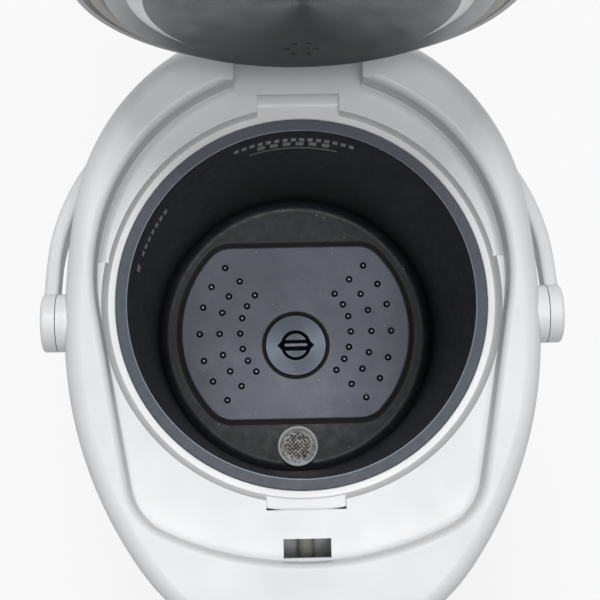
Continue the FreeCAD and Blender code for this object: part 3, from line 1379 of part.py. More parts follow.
def make_control_board():
    """The board behind the panel, which fills the well's width, with a key switch under each button."""
    stem_end = -PANEL_SINK - BUTTON_STEM
    front = stem_end - BUTTON_TRAVEL - SWITCH_HEIGHT - SWITCH_PLAY
    low, high = PANEL_WELL
    half = PANEL_WELL_HALF_WIDTH - BOARD_GAP
    board = box(-half, half, low + 2 * BOARD_GAP, high - BOARD_GAP, front - BOARD_THICKNESS, front)
    switch = SWITCH_HALF
    for x, y, _, _ in BUTTONS.values():
        switch_top = front + SWITCH_HEIGHT
        board = board.fuse(box(x - switch, x + switch, y - switch, y + switch, front, switch_top))
    return board.removeSplitter()


def make_spout():
    """The nozzle under the nose, with a flange above the underside plate."""
    low = HEAD_Z - SPOUT_DROP
    flange_low = HEAD_Z + UNDERSIDE_LIFT + UNDERSIDE_THICKNESS
    flange_radius = SPOUT_RADIUS + SPOUT_FLANGE
    top = HEAD_Z + SPOUT_TOP_RISE
    return turned(
        [
            (SPOUT_BORE, low),
            (SPOUT_RADIUS - SPOUT_LIP, low),
            (SPOUT_RADIUS, low + SPOUT_TAPER),
            (SPOUT_RADIUS, flange_low),
            (flange_radius, flange_low),
            (flange_radius, top - 1),
            (SPOUT_RADIUS - SPOUT_FLANGE, top),
            (SPOUT_BORE, top),
        ],
        SPOUT_Y,
    )


def make_spout_pipe():
    level = HEAD_Z + SPOUT_PIPE_RISE
    return hose(
        [
            at(0, TUBE_Y, GAUGE_TOP_Z),
            at(0, TUBE_Y, level),
            at(0, SPOUT_Y, level),
            at(0, SPOUT_Y, HEAD_Z + SPOUT_TOP_RISE),
        ],
        SPOUT_PIPE_BEND,
        TUBE_RADIUS,
        TUBE_BORE,
    )


def make_gauge_tube():
    return pipe(TUBE_RADIUS, TUBE_BORE, at(0, TUBE_Y, GAUGE_BOTTOM_Z), at(0, TUBE_Y, GAUGE_TOP_Z))


def make_outlet_port():
    """The fitting under the floor's outlet, with a hose tail below."""
    top = UNDERSIDE_Z
    cup = OUTLET_RADIUS + PORT_WALL
    flange = OUTLET_RADIUS + PORT_FLANGE
    tail_top = top - PORT_CUP_DEPTH - PORT_TAPER
    tail_low = top - PORT_DEPTH
    return turned(
        [
            (OUTLET_RADIUS, top),
            (flange, top),
            (flange, top - 2),
            (cup, top - 3),
            (cup, top - PORT_CUP_DEPTH),
            (SPIGOT_RADIUS, tail_top),
            (SPIGOT_RADIUS, tail_low),
            (SPIGOT_BORE, tail_low),
            (SPIGOT_BORE, tail_top + PORT_WALL),
            (OUTLET_RADIUS, top - PORT_CUP_DEPTH + 1),
        ],
        OUTLET_Y,
    )


def make_inlet_hose():
    top = UNDERSIDE_Z - PORT_DEPTH + HOSE_LAP
    end_x = PUMP_X - PUMP_LENGTH / 2 - 1
    points = [at(0, OUTLET_Y, top), at(0, OUTLET_Y, PUMP_Z), at(end_x, OUTLET_Y, PUMP_Z)]
    return hose(points, INLET_BEND, HOSE_RADIUS, SPIGOT_RADIUS)


def on_pump_axis(x):
    return at(x, OUTLET_Y, PUMP_Z)


def make_pump_housing():
    """The volute on its side, with the inlet at its centre and the outlet off its rim."""
    x0 = PUMP_X - PUMP_LENGTH / 2
    x1 = PUMP_X + PUMP_LENGTH / 2
    tail_x = x0 - PUMP_TAIL
    outlet_y = OUTLET_Y - PUMP_OUTLET_REACH
    front_y = OUTLET_Y - PUMP_FOOT_HALF
    back_y = OUTLET_Y + PUMP_FOOT_HALF
    body = rod(PUMP_RADIUS, on_pump_axis(x0), on_pump_axis(x1))
    foot = box(x0, x1, front_y, back_y, FOOT_HEIGHT + BASE_WALL, PUMP_Z - PUMP_FOOT_TOP)
    tail = rod(SPIGOT_RADIUS, on_pump_axis(tail_x), on_pump_axis(x0 + 1))
    outlet = rod(SPIGOT_RADIUS, at(PUMP_X, OUTLET_Y, PUMP_OUTLET_Z), at(PUMP_X, outlet_y, PUMP_OUTLET_Z))
    body = joined(body, foot, tail, outlet)
    body = body.cut(rod(PUMP_RADIUS - PUMP_WALL, on_pump_axis(x0 + PUMP_BACK_WALL), on_pump_axis(x1 + 1)))
    body = body.cut(rod(SPIGOT_BORE, on_pump_axis(tail_x - 1), on_pump_axis(x0 + PUMP_BACK_WALL + 1)))
    bore_start = at(PUMP_X, OUTLET_Y - PUMP_RADIUS / 2, PUMP_OUTLET_Z)
    return body.cut(rod(SPIGOT_BORE, bore_start, at(PUMP_X, outlet_y - 1, PUMP_OUTLET_Z)))


def make_impeller():
    """The pump's impeller: a disc with six straight vanes on the motor's shaft."""
    x0 = PUMP_X - PUMP_LENGTH / 2 + IMPELLER_FRONT_GAP
    x1 = PUMP_X + PUMP_LENGTH / 2 - IMPELLER_BACK_GAP
    radius = PUMP_RADIUS - IMPELLER_DRAW
    wheel = rod(radius, on_pump_axis(x1 - IMPELLER_DISC), on_pump_axis(x1))
    hub = rod(HUB_RADIUS, on_pump_axis(x0), on_pump_axis(x1))
    shaft = rod(SHAFT_RADIUS, on_pump_axis(x1 - 1), on_pump_axis(x1 + SHAFT_LENGTH))
    front_y = OUTLET_Y - VANE_HALF
    back_y = OUTLET_Y + VANE_HALF
    vanes = []
    for i in range(VANE_COUNT):
        vane = box(x0 + 1, x1 - 1, front_y, back_y, PUMP_Z + VANE_ROOT, PUMP_Z + radius - VANE_HALF)
        vane.rotate(on_pump_axis(0), X_AXIS, 360.0 * i / VANE_COUNT)
        vanes.append(vane)
    return joined(wheel, hub, shaft, *vanes)


def make_motor():
    """The pump's motor, which closes the volute and holds the shaft's bearing."""
    x0 = PUMP_X + PUMP_LENGTH / 2
    can = rod(MOTOR_RADIUS, on_pump_axis(x0 + MOTOR_PLATE), on_pump_axis(x0 + MOTOR_LENGTH))
    plate = rod(PUMP_RADIUS, on_pump_axis(x0), on_pump_axis(x0 + MOTOR_PLATE))
    can = joined(can, plate)
    return can.cut(rod(SHAFT_RADIUS + RUNNING_GAP, on_pump_axis(x0 - 1), on_pump_axis(x0 + SHAFT_LENGTH + 1)))


def make_riser_hose():
    return hose(
        [
            at(PUMP_X, OUTLET_Y - PUMP_RADIUS - HOSE_GAP, PUMP_OUTLET_Z),
            at(PUMP_X, TUBE_Y, PUMP_OUTLET_Z),
            at(0, TUBE_Y, PUMP_OUTLET_Z + RISER_RISE),
            at(0, TUBE_Y, GAUGE_BOTTOM_Z),
        ],
        RISER_BEND,
        TUBE_RADIUS,
        SPIGOT_RADIUS,
    )


def make_heater():
    """The cast heating plate clamped under the floor."""
    plate = Part.makeCylinder(HEATER_RADIUS, HEATER_THICKNESS, at(0, 0, UNDERSIDE_Z - HEATER_THICKNESS))
    return plate.cut(rod(CAP_STEM_RADIUS + 1, at(0, CAP_Y, 0), at(0, CAP_Y, UNDERSIDE_Z + 1)))


def make_heater_sheath():
    """The tubular element under the heating plate: most of a ring, open at one side."""
    z = UNDERSIDE_Z - HEATER_THICKNESS - SHEATH_RADIUS
    ring = Part.makeTorus(SHEATH_LOOP, SHEATH_RADIUS, at(0, 0, z), Z_AXIS, -180, 180, SHEATH_SWEEP)
    ring.rotate(at(0, 0, z), Z_AXIS, SHEATH_TURN)
    return ring


def make_warm_band():
    """The keep-warm band round the lower wall."""
    low = POT_FLOOR_Z + BAND_RISE
    return pipe(POT_OUTER + BAND_THICKNESS, POT_OUTER, at(0, 0, low), at(0, 0, low + BAND_HEIGHT))


def make_shield():
    inner = POT_OUTER + SHIELD_GAP
    low = UNDERSIDE_Z - SHIELD_BOTTOM_DROP
    return pipe(inner + SHIELD_WALL, inner, at(0, 0, low), at(0, 0, SEAT_Z - COLLAR_DROP))


def make_thermostat():
    """The round thermostat under the heating plate, with two upright tabs below it."""
    z = UNDERSIDE_Z - HEATER_THICKNESS
    body = rod(THERMOSTAT_RADIUS, at(0, THERMOSTAT_Y, z - THERMOSTAT_HEIGHT), at(0, THERMOSTAT_Y, z))
    front = THERMOSTAT_Y - THERMOSTAT_TAB_HALF_WIDTH
    back = THERMOSTAT_Y + THERMOSTAT_TAB_HALF_WIDTH
    low_drop, high_drop = THERMOSTAT_TAB_DROPS
    tabs = []
    for x in (-THERMOSTAT_TAB_X, THERMOSTAT_TAB_X):
        left = x - THERMOSTAT_TAB_HALF
        tabs.append(box(left, left + 2 * THERMOSTAT_TAB_HALF, front, back, z - low_drop, z - high_drop))
    return joined(body, *tabs)


def make_power_board():
    """The main board on its two standing ribs at the back of the base."""
    z = FOOT_HEIGHT + BASE_WALL
    back = CASING_RADIUS - POWER_BOARD_MARGIN
    front = back - POWER_BOARD_DEPTH
    low = z + POWER_RIB_HEIGHT
    top = low + BOARD_THICKNESS
    pieces = []
    for x in (-POWER_RIB_X, POWER_RIB_X):
        left = x - POWER_RIB_HALF
        right = x + POWER_RIB_HALF
        pieces.append(box(left, right, front + POWER_RIB_INSET, back - POWER_RIB_INSET, z, low))
    for left, right, near, far, height in POWER_BLOCKS:
        pieces.append(box(left, right, front + near, front + far, top, top + height))
    board = box(-POWER_BOARD_HALF_WIDTH, POWER_BOARD_HALF_WIDTH, front, back, low, top)
    return joined(board, *pieces)


def make_power_inlet():
    """The rear socket for a magnetic plug: a recessed cup."""
    half = INLET_WIDTH / 2 - INLET_GAP
    rise = INLET_HEIGHT / 2 - INLET_GAP
    cup = box(-half, half, INLET_FRONT_Y, INLET_BACK_Y, INLET_Z - rise, INLET_Z + rise)
    half -= INLET_WALL
    rise -= INLET_WALL
    front = INLET_FRONT_Y + INLET_FLOOR
    hollow = box(-half, half, front, INLET_BACK_Y + 1, INLET_Z - rise, INLET_Z + rise)
    return cup.cut(hollow).cut(make_inlet_pins())


def make_inlet_pins():
    start_y = INLET_FRONT_Y - INLET_PIN_ROOT
    end_y = INLET_FRONT_Y + INLET_PIN_REACH
    pins = []
    for x in (-INLET_PIN_X, INLET_PIN_X):
        pins.append(rod(INLET_PIN_RADIUS, at(x, start_y, INLET_Z), at(x, end_y, INLET_Z)))
    return Part.makeCompound(pins)


def make_hinge_pin():
    end = HINGE_HALF + HINGE_PIN_ROOT
    return rod(HINGE_PIN_RADIUS, at(-end, HINGE_Y, HINGE_Z), at(end, HINGE_Y, HINGE_Z))


def make_pot_seal():
    """The upright ring between the container's wall and the collar's bore."""
    low = SEAT_Z - COLLAR_DROP
    return pipe(POT_OUTER + SHIELD_GAP, POT_OUTER, at(0, 0, low), at(0, 0, low + SEAL_HEIGHT))


def build():
    """Every piece of the part, by node name."""
    parts = {
        "inner_pot": make_inner_pot(),
        "boiling_plate": make_boiling_plate(),
        "plate_seal": make_plate_seal(),
        "cap_seal": make_cap_seal(),
        "plate_cap": make_plate_cap(),
        "strainer_ring": make_strainer_ring(),
        "strainer_mesh": make_strainer_mesh(),
        "pot_seal": make_pot_seal(),
        "head_housing": make_head(),
        "head_underside": make_head_underside(),
        "outer_casing": make_casing(),
        "gauge_lens": make_gauge_lens(),
        "base_pan": make_base(),
        "rubber_feet": make_feet(),
        "base_screws": make_base_screws(),
        "hinge_pin": make_hinge_pin(),
        "pivot_pins": make_pivot_pins(),
        "handle": folded(make_handle()),
        "control_panel": on_facet(make_panel()),
        "display_window": on_facet(make_display()),
        "control_board": on_facet(make_control_board()),
        "spout": make_spout(),
        "spout_pipe": make_spout_pipe(),
        "gauge_tube": make_gauge_tube(),
        "outlet_port": make_outlet_port(),
        "inlet_hose": make_inlet_hose(),
        "riser_hose": make_riser_hose(),
        "pump_housing": make_pump_housing(),
        "pump_impeller": make_impeller(),
        "pump_motor": make_motor(),
        "heating_plate": make_heater(),
        "heater_element": make_heater_sheath(),
        "warm_band": make_warm_band(),
        "heat_shield": make_shield(),
        "thermostat": make_thermostat(),
        "power_board": make_power_board(),
        "power_inlet": make_power_inlet(),
        "inlet_pins": make_inlet_pins(),
    }
    for name, place in BUTTONS.items():
        parts[name] = on_facet(make_button(place))
    lid = {
        "lid_shell": make_lid_shell(),
        "lid_under_cover": make_lid_under(),
        "lid_gasket": make_lid_gasket(),
        "inner_lid": make_inner_lid(),
        "steam_vent_cap": make_vent_cap(),
        "steam_duct": make_steam_duct(),
        "steam_ball": make_steam_ball(),
        "lid_lever": make_lever(),
        "lever_pin": make_lever_pin(),
        "lid_screws": make_lid_screws(),
    }
    for name, shape in lid.items():
        parts[name] = opened(shape)
    return parts


def main():
    os.makedirs("parts", exist_ok=True)
    for name, shape in build().items():
        if not shape.isValid():
            print("not valid:", name)
        shape.exportStep(os.path.join("parts", name + ".step"))
        print(f"{name}: {len(shape.Solids)} solid(s), {shape.Volume / 1000:.2f} cm3")


if __name__ == "__main__":
    main()
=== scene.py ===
import json
import math

import bmesh
import bpy
from mathutils import Matrix, Vector

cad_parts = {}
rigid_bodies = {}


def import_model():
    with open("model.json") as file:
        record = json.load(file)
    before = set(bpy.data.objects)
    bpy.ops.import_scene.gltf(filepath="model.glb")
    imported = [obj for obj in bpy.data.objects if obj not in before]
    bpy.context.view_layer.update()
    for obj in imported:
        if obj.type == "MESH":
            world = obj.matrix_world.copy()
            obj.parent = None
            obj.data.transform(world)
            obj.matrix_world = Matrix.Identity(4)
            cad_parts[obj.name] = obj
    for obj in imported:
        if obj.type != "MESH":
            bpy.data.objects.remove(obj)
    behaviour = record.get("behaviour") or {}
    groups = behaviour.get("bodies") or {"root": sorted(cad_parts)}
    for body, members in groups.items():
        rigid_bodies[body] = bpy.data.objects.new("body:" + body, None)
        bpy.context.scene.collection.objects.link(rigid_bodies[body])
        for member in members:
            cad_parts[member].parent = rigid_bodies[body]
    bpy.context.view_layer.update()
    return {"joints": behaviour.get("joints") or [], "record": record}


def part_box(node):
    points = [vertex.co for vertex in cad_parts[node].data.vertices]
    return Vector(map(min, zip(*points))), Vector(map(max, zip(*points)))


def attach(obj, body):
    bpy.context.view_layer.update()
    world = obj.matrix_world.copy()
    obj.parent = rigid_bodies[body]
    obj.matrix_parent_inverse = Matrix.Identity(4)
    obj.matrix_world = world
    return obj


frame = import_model()


def box_corners(box):
    """A box's lowest and highest corners."""
    return [Vector(corner) for corner in box]


def box_centre(box):
    low, high = box_corners(box)
    return (low + high) / 2


# Places and sizes are in metres and read from the frame where it holds them
POT_HIGH = box_corners(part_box("inner_pot"))[1]
RIM_Z = POT_HIGH.z
FLANGE_WIDTH = 0.006
POT_RADIUS = POT_HIGH.x - FLANGE_WIDTH
CAP_CENTRE = box_centre(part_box("plate_cap"))
STRAINER_CENTRE = box_centre(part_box("strainer_ring"))
LID_CENTRE = box_centre(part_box("inner_lid"))
NUB_HEIGHT = 0.0014
PLATE_TOP_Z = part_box("boiling_plate")[1][2] - NUB_HEIGHT

# Where one finish gives way to the next, and where painted shade and painted highlights begin
FLANGE_START = 0.0004
LIP_WIDTH = 0.0009
FLOOR_INSET = 0.0015
# From here towards the back the flange is painted paler: a painted reflection
FLANGE_PAINTED_PALE_FROM_Y = 0.02
# The plate's left side is painted darker, a painted shade that fades out between these x places
SHADED_X = (-0.06, 0.05)
NUB_FOOT = 0.0001
# The depth of each nub's crown that gets a painted highlight
CROWN_HIGHLIGHT_DEPTH = 0.0001
# Past this radius the strainer ring gets a painted highlight on its outer edge
STRAINER_BRIGHT_RADIUS = 0.0108
# Past the mesh's edge, so that none of the mesh gets the painted highlight
MESH_BRIGHT_RADIUS = 0.02

# From one turning ring to the next
CAP_RING_PITCH = 0.0006
LID_RING_PITCH = 0.0009

# Nearly all of a noise's values lie between these
NOISE_LOW = 0.3
NOISE_HIGH = 0.7

# Printed marks
PRINT_LIFT = 0.00015
STRIP_STEP_DEG = 1.5
LINE_WIDTH = 0.003
FULL_LEVEL_DROP = 0.041
FULL_LINE_DEG = (76.0, 107.0)
# The share of its pitch that a mark fills
MARK_SHARE = 0.6
# Rows of marks: first and last angle, count, depth of the lower edge below the rim, height
MARK_ROWS = (
    (78.0, 105.0, 6, 0.034, 0.009),
    (70.0, 113.0, 15, 0.023, 0.008),
    (142.0, 161.0, 7, 0.034, 0.010),
    (163.0, 167.0, 1, 0.036, 0.014),
)
GAUGE_LENS_PROUD = 0.0004
GAUGE_STEPS = 8
TICK_WIDTH = 0.0008
TICK_GAP = 0.0015
LONG_TICK = 0.0055
SHORT_TICK = 0.0035
# Points no further than this behind the foremost one are on the front face
FACE_DEPTH = 0.0002
ARC_STEPS = 10
DIGIT_WIDTH = 0.0028
DIGIT_HEIGHT = 0.005
DIGIT_STROKE = 0.0006
DIGIT_PLACES = (-0.0034, 0.0006)
SHOWN_DIGITS = "98"
LIT_STRENGTH = 0.8

# The curve at the foot of the recess wall, sunk a little into the wall and the deck
HEAD_RECESS_RADIUS = 0.0953
COVE_CENTRE_Y = 0.012
COVE_RADIUS = 0.005
COVE_SINK = 0.0003
COVE_DEG = (5.0, 71.0)
COVE_STEPS = 8
COVE_SPAN_STEPS = 48
BACK_DECK_Z = RIM_Z + 0.005

# The photograph's view
CAMERA_PLACE = Vector((-0.0148, -0.0676, RIM_Z + 0.737))
CAMERA_AIM = Vector((-0.0009, 0.0014, RIM_Z))
CAMERA_ROLL_DEG = 1.2
CAMERA_LENS = 94.2
SENSOR_WIDTH = 36.0

# Lights: name, place, width of the disc, power in watts
LIGHTS = (
    ("window", (-0.1, 1.2, 2.9), 1.0, 40.0),
    ("overhead", (0.1, -0.3, 2.6), 1.0, 20.0),
    ("sparkle", (0.12, -0.2, 2.6), 0.25, 1.5),
)
# The surround's strength and slightly warm tint as a light; it looks plain white
SURROUND_LIGHT = 0.18
SURROUND_TINT = (1.0, 0.975, 0.96, 1.0)
WHITE = (1.0, 1.0, 1.0, 1.0)

FLOOR_REACH = 12.0
FLOOR_GREYS = (0.84, 0.87)
# The share of white that the camera sees on the floor, over its real colour
FLOOR_GLOW = 0.8


# Materials

def linear(value):
    """A 0 to 255 screen value as a linear colour component."""
    share = value / 255
    return share / 12.92 if share <= 0.04045 else ((share + 0.055) / 1.055) ** 2.4


def shade(red, green, blue):
    """A colour from 0 to 255 screen values."""
    return (linear(red), linear(green), linear(blue), 1.0)


class Surface:
    """A procedural material under construction, with its own small helpers."""

    def __init__(self, name, roughness=0.4, metallic=0.0, coat=0.0):
        self.material = bpy.data.materials.new(name)
        self.material.use_nodes = True
        self.tree = self.material.node_tree
        self.shader = self.tree.nodes["Principled BSDF"]
        self.shader.inputs["Roughness"].default_value = roughness
        self.shader.inputs["Metallic"].default_value = metallic
        self.shader.inputs["Coat Weight"].default_value = coat
        self.place = self.add("ShaderNodeTexCoord").outputs["Object"]

    def add(self, kind, **inputs):
        """A new node, with the values of its inputs; an underscore stands for a space."""
        node = self.tree.nodes.new(kind)
        for key, value in inputs.items():
            node.inputs[key.replace("_", " ")].default_value = value
        return node

    def link(self, source, target):
        self.tree.links.new(source, target)

    def noise(self, scale, detail=4.0, roughness=0.5, stretch=None):
        node = self.add("ShaderNodeTexNoise", Scale=scale, Detail=detail, Roughness=roughness)
        place = self.place
        if stretch:
            mapping = self.add("ShaderNodeMapping")
            mapping.inputs["Scale"].default_value = stretch
            self.link(place, mapping.inputs["Vector"])
            place = mapping.outputs["Vector"]
        self.link(place, node.inputs["Vector"])
        return node.outputs["Fac"]

    def ramp(self, source, low, high, first, last):
        """A value that goes from first to last as the source goes from low to high."""
        node = self.add("ShaderNodeMapRange", From_Min=low, From_Max=high, To_Min=first, To_Max=last)
        self.link(source, node.inputs["Value"])
        return node.outputs["Result"]

    def wander(self, scale, first, last):
        """A value that wanders between two others."""
        return self.ramp(self.noise(scale), NOISE_LOW, NOISE_HIGH, first, last)

    def blend(self, share, first, second):
        """A colour between two others, each a colour or an output.

        A colour mix takes its share at input 0 and its colours at 6 and 7, and gives its result at output 2.
        """
        node = self.add("ShaderNodeMix")
        node.data_type = "RGBA"
        for socket, value in ((node.inputs[6], first), (node.inputs[7], second)):
            if isinstance(value, tuple):
                socket.default_value = value
            else:
                self.link(value, socket)
        self.link(share, node.inputs[0])
        return node.outputs[2]

    def combine(self, operation, *values):
        """The result of a sum or comparison on numbers or outputs."""
        node = self.add("ShaderNodeMath")
        node.operation = operation
        for socket, value in zip(node.inputs, values):
            if isinstance(value, (int, float)):
                socket.default_value = value
            else:
                self.link(value, socket)
        return node.outputs[0]

    def axis(self, index):
        """One coordinate of the place: 0 is x, 1 is y and 2 is z."""
        node = self.add("ShaderNodeSeparateXYZ")
        self.link(self.place, node.inputs[0])
        return node.outputs[index]

    def radius(self, x=0.0, y=0.0):
        """The distance from an upright axis."""
        across = self.combine("SUBTRACT", self.axis(0), x)
        along = self.combine("SUBTRACT", self.axis(1), y)
        squares = [self.combine("MULTIPLY", side, side) for side in (across, along)]
        return self.combine("SQRT", self.combine("ADD", *squares))

    def distance(self, place):
        """The distance from a point, which draws rings on a thin disc that faces any way."""
        node = self.add("ShaderNodeVectorMath")
        node.operation = "DISTANCE"
        node.inputs[1].default_value = place
        self.link(self.place, node.inputs[0])
        return node.outputs["Value"]

    def specks(self, scale, share):
        """One in a few small round spots: 1 inside a spot, 0 elsewhere."""
        cells = self.add("ShaderNodeTexVoronoi", Scale=scale)
        self.link(self.place, cells.inputs["Vector"])
        pick = self.add("ShaderNodeSeparateXYZ")
        self.link(cells.outputs["Color"], pick.inputs[0])
        chosen = self.combine("LESS_THAN", pick.outputs[0], share)
        near = self.ramp(cells.outputs["Distance"], 0.1, 0.28, 1.0, 0.0)
        return self.combine("MULTIPLY", chosen, near)

    def colour(self, source):
        self.link(source, self.shader.inputs["Base Color"])

    def vary_roughness(self, source):
        self.link(source, self.shader.inputs["Roughness"])

    def bump(self, source, strength, distance=0.0002):
        """Fine relief; the distance is in metres."""
        node = self.add("ShaderNodeBump", Strength=strength, Distance=distance)
        self.link(source, node.inputs["Height"])
        self.link(node.outputs["Normal"], self.shader.inputs["Normal"])


def moulded(name, light, dark, roughness, grain=900.0, coat=0.0):
    """Injection-moulded plastic: faint cloudy tint, uneven sheen and a fine tool texture."""
    surface = Surface(name, roughness, coat=coat)
    cloud = surface.noise(14.0, 3.0)
    surface.colour(surface.blend(surface.ramp(cloud, 0.35, 0.7, 0.0, 1.0), light, dark))
    surface.vary_roughness(surface.wander(60.0, roughness - 0.05, roughness + 0.08))
    surface.bump(surface.noise(grain, 2.0), 0.06)
    return surface.material


def rubbery(name, light, dark, roughness=0.75):
    """Soft matt rubber with a fine, uneven skin."""
    surface = Surface(name, roughness)
    surface.colour(surface.blend(surface.noise(180.0, 5.0), light, dark))
    surface.bump(surface.noise(1400.0, 3.0), 0.25, 0.0003)
    return surface.material


def brushed(name, light, dark, stretch, roughness=0.3):
    """Metal with fine brush lines along one axis."""
    surface = Surface(name, roughness, metallic=1.0)
    lines = surface.noise(260.0, 6.0, 0.7, stretch)
    surface.colour(surface.blend(lines, light, dark))
    sheen = surface.ramp(lines, NOISE_LOW, NOISE_HIGH, roughness - 0.08, roughness + 0.12)
    surface.vary_roughness(sheen)
    surface.bump(lines, 0.1)
    return surface.material


def cast(name, light, dark):
    """Cast metal with a rough, mottled skin."""
    surface = Surface(name, 0.55, metallic=0.8)
    surface.colour(surface.blend(surface.noise(320.0, 8.0, 0.7), light, dark))
    surface.bump(surface.noise(700.0, 4.0), 0.3, 0.0004)
    return surface.material


def clear(name):
    """Clear plastic with a faint grey tint."""
    surface = Surface(name, 0.12)
    surface.colour(surface.blend(surface.noise(30.0), shade(215, 222, 222), shade(200, 210, 212)))
    surface.shader.inputs["Transmission Weight"].default_value = 0.85
    surface.shader.inputs["IOR"].default_value = 1.45
    surface.bump(surface.noise(300.0), 0.05)
    return surface.material


def circuit_board(name):
    """Green laminate with paler tracks."""
    surface = Surface(name, 0.45)
    tracks = surface.add("ShaderNodeTexBrick", Scale=120.0, Mortar_Size=0.03)
    surface.link(surface.place, tracks.inputs["Vector"])
    surface.colour(surface.blend(tracks.outputs["Fac"], shade(24, 74, 46), shade(52, 112, 72)))
    surface.bump(surface.noise(500.0), 0.1)
    return surface.material


def container_coating(name):
    """The dark coated wall and floor, a blue-grey flange painted paler towards the back as a painted
    reflection, and a painted highlight on the lip at the mouth.
    """
    surface = Surface(name)
    surface.shader.inputs["Specular IOR Level"].default_value = 0.3
    grain = surface.noise(900.0, 6.0, 0.7)
    wall = surface.blend(grain, shade(29, 31, 36), shade(45, 48, 54))
    flange = surface.blend(surface.noise(500.0, 6.0), shade(54, 61, 71), shade(66, 73, 83))
    # Painted reflection: the flange is painted paler towards the back
    back = surface.ramp(surface.axis(1), FLANGE_PAINTED_PALE_FROM_Y, POT_RADIUS, 0.0, 0.75)
    flange = surface.blend(back, flange, shade(86, 92, 101))
    streaks = surface.ramp(surface.noise(70.0, 6.0, 0.65, (1.0, 1.6, 1.0)), 0.5, 0.72, 0.0, 1.0)
    floor = surface.blend(streaks, shade(36, 40, 49), shade(52, 58, 69))
    radius = surface.radius()
    on_flange = surface.combine("GREATER_THAN", radius, POT_RADIUS + FLANGE_START)
    off_lip = surface.combine("GREATER_THAN", radius, POT_RADIUS + LIP_WIDTH)
    on_floor = surface.combine("LESS_THAN", radius, POT_RADIUS - FLOOR_INSET)
    specked = surface.blend(surface.specks(420.0, 0.02), floor, shade(150, 154, 158))
    below = surface.blend(on_floor, wall, specked)
    # Painted highlight: a paler band on the lip at the flange's inner edge
    lip_highlight = surface.blend(off_lip, shade(108, 116, 127), flange)
    surface.colour(surface.blend(on_flange, below, lip_highlight))
    matt = surface.wander(240.0, 0.36, 0.46)
    on_lip = surface.combine("SUBTRACT", on_flange, off_lip)
    surface.vary_roughness(surface.combine("SUBTRACT", matt, surface.combine("MULTIPLY", on_lip, 0.14)))
    surface.bump(grain, 0.05)
    return surface.material


def plate_coating(name):
    """The plate's satin blue-grey coating, with scale and specks from use, painted shade on its left side,
    and smoother nubs painted dark with a painted highlight on each crown.
    """
    surface = Surface(name, metallic=0.15)
    fine = surface.noise(1100.0, 6.0, 0.75)
    grain = surface.ramp(fine, NOISE_LOW, NOISE_HIGH, 0.0, 1.0)
    coat = surface.blend(grain, shade(88, 94, 108), shade(122, 128, 144))
    cloud = surface.ramp(surface.noise(13.0, 3.0, 0.5), 0.36, 0.62, 0.0, 0.75)
    coat = surface.blend(cloud, coat, shade(76, 81, 95))
    # Painted shade: the left side of the plate is darker
    left_painted_shade = surface.ramp(surface.axis(0), *SHADED_X, 0.55, 0.0)
    coat = surface.blend(left_painted_shade, coat, shade(62, 67, 80))
    marks = surface.ramp(surface.noise(38.0, 5.0, 0.6), 0.6, 0.8, 0.0, 0.18)
    coat = surface.blend(marks, coat, shade(146, 150, 158))
    coat = surface.blend(surface.specks(520.0, 0.02), coat, shade(150, 154, 162))
    height = surface.axis(2)
    on_nub = surface.combine("GREATER_THAN", height, PLATE_TOP_Z + NUB_FOOT)
    on_crown = surface.combine("GREATER_THAN", height, PLATE_TOP_Z + NUB_HEIGHT - CROWN_HIGHLIGHT_DEPTH)
    # The nubs are painted dark, a painted reflection of the dark wall, and their crowns get a painted
    # highlight
    nub_shade_and_highlight = surface.blend(on_crown, shade(44, 48, 58), shade(176, 181, 190))
    surface.colour(surface.blend(on_nub, coat, nub_shade_and_highlight))
    matt = surface.wander(130.0, 0.34, 0.4)
    surface.vary_roughness(surface.combine("SUBTRACT", matt, surface.combine("MULTIPLY", on_nub, 0.2)))
    surface.bump(fine, 0.3, 0.0004)
    return surface.material


def turned_metal(name, centre, axis, light, dark, ring_pitch, roughness=0.3, metallic=0.85):
    """Metal turned on a lathe: fine rings round one point, and a cloudy tarnish."""
    surface = Surface(name, roughness, metallic)
    surface.shader.inputs["Anisotropic"].default_value = 0.6
    tangent = surface.add("ShaderNodeTangent")
    tangent.direction_type = "RADIAL"
    tangent.axis = axis
    surface.link(tangent.outputs[0], surface.shader.inputs["Tangent"])
    ring = surface.combine("MULTIPLY", surface.distance(centre), 2 * math.pi / ring_pitch)
    wave = surface.combine("SINE", ring)
    rings = surface.blend(surface.ramp(wave, -1.0, 1.0, 0.0, 1.0), light, dark)
    tarnish = surface.ramp(surface.noise(60.0, 4.0), 0.45, 0.75, 0.0, 0.4)
    surface.colour(surface.blend(tarnish, rings, dark))
    surface.vary_roughness(surface.wander(90.0, roughness - 0.02, roughness + 0.04))
    surface.bump(wave, 0.02, 0.0001)
    return surface.material


def worn_steel_painted_rim(name, light, dark, roughness, metallic, bright_radius, grain=420.0):
    """Stamped steel in use: a darker film, pale specks of scale, and a painted highlight past a radius."""
    surface = Surface(name, roughness, metallic)
    film = surface.ramp(surface.noise(grain, 5.0, 0.7), 0.4, 0.6, 0.0, 1.0)
    worn = surface.blend(film, light, dark)
    worn = surface.blend(surface.specks(900.0, 0.1), worn, shade(205, 204, 200))
    radius = surface.radius(STRAINER_CENTRE.x, STRAINER_CENTRE.y)
    # Painted highlight: past the radius the colour is near white
    rim_highlight = surface.combine("GREATER_THAN", radius, bright_radius)
    surface.colour(surface.blend(rim_highlight, worn, shade(244, 245, 247)))
    surface.vary_roughness(surface.ramp(film, 0.0, 1.0, roughness, roughness + 0.15))
    surface.bump(film, 0.1)
    return surface.material


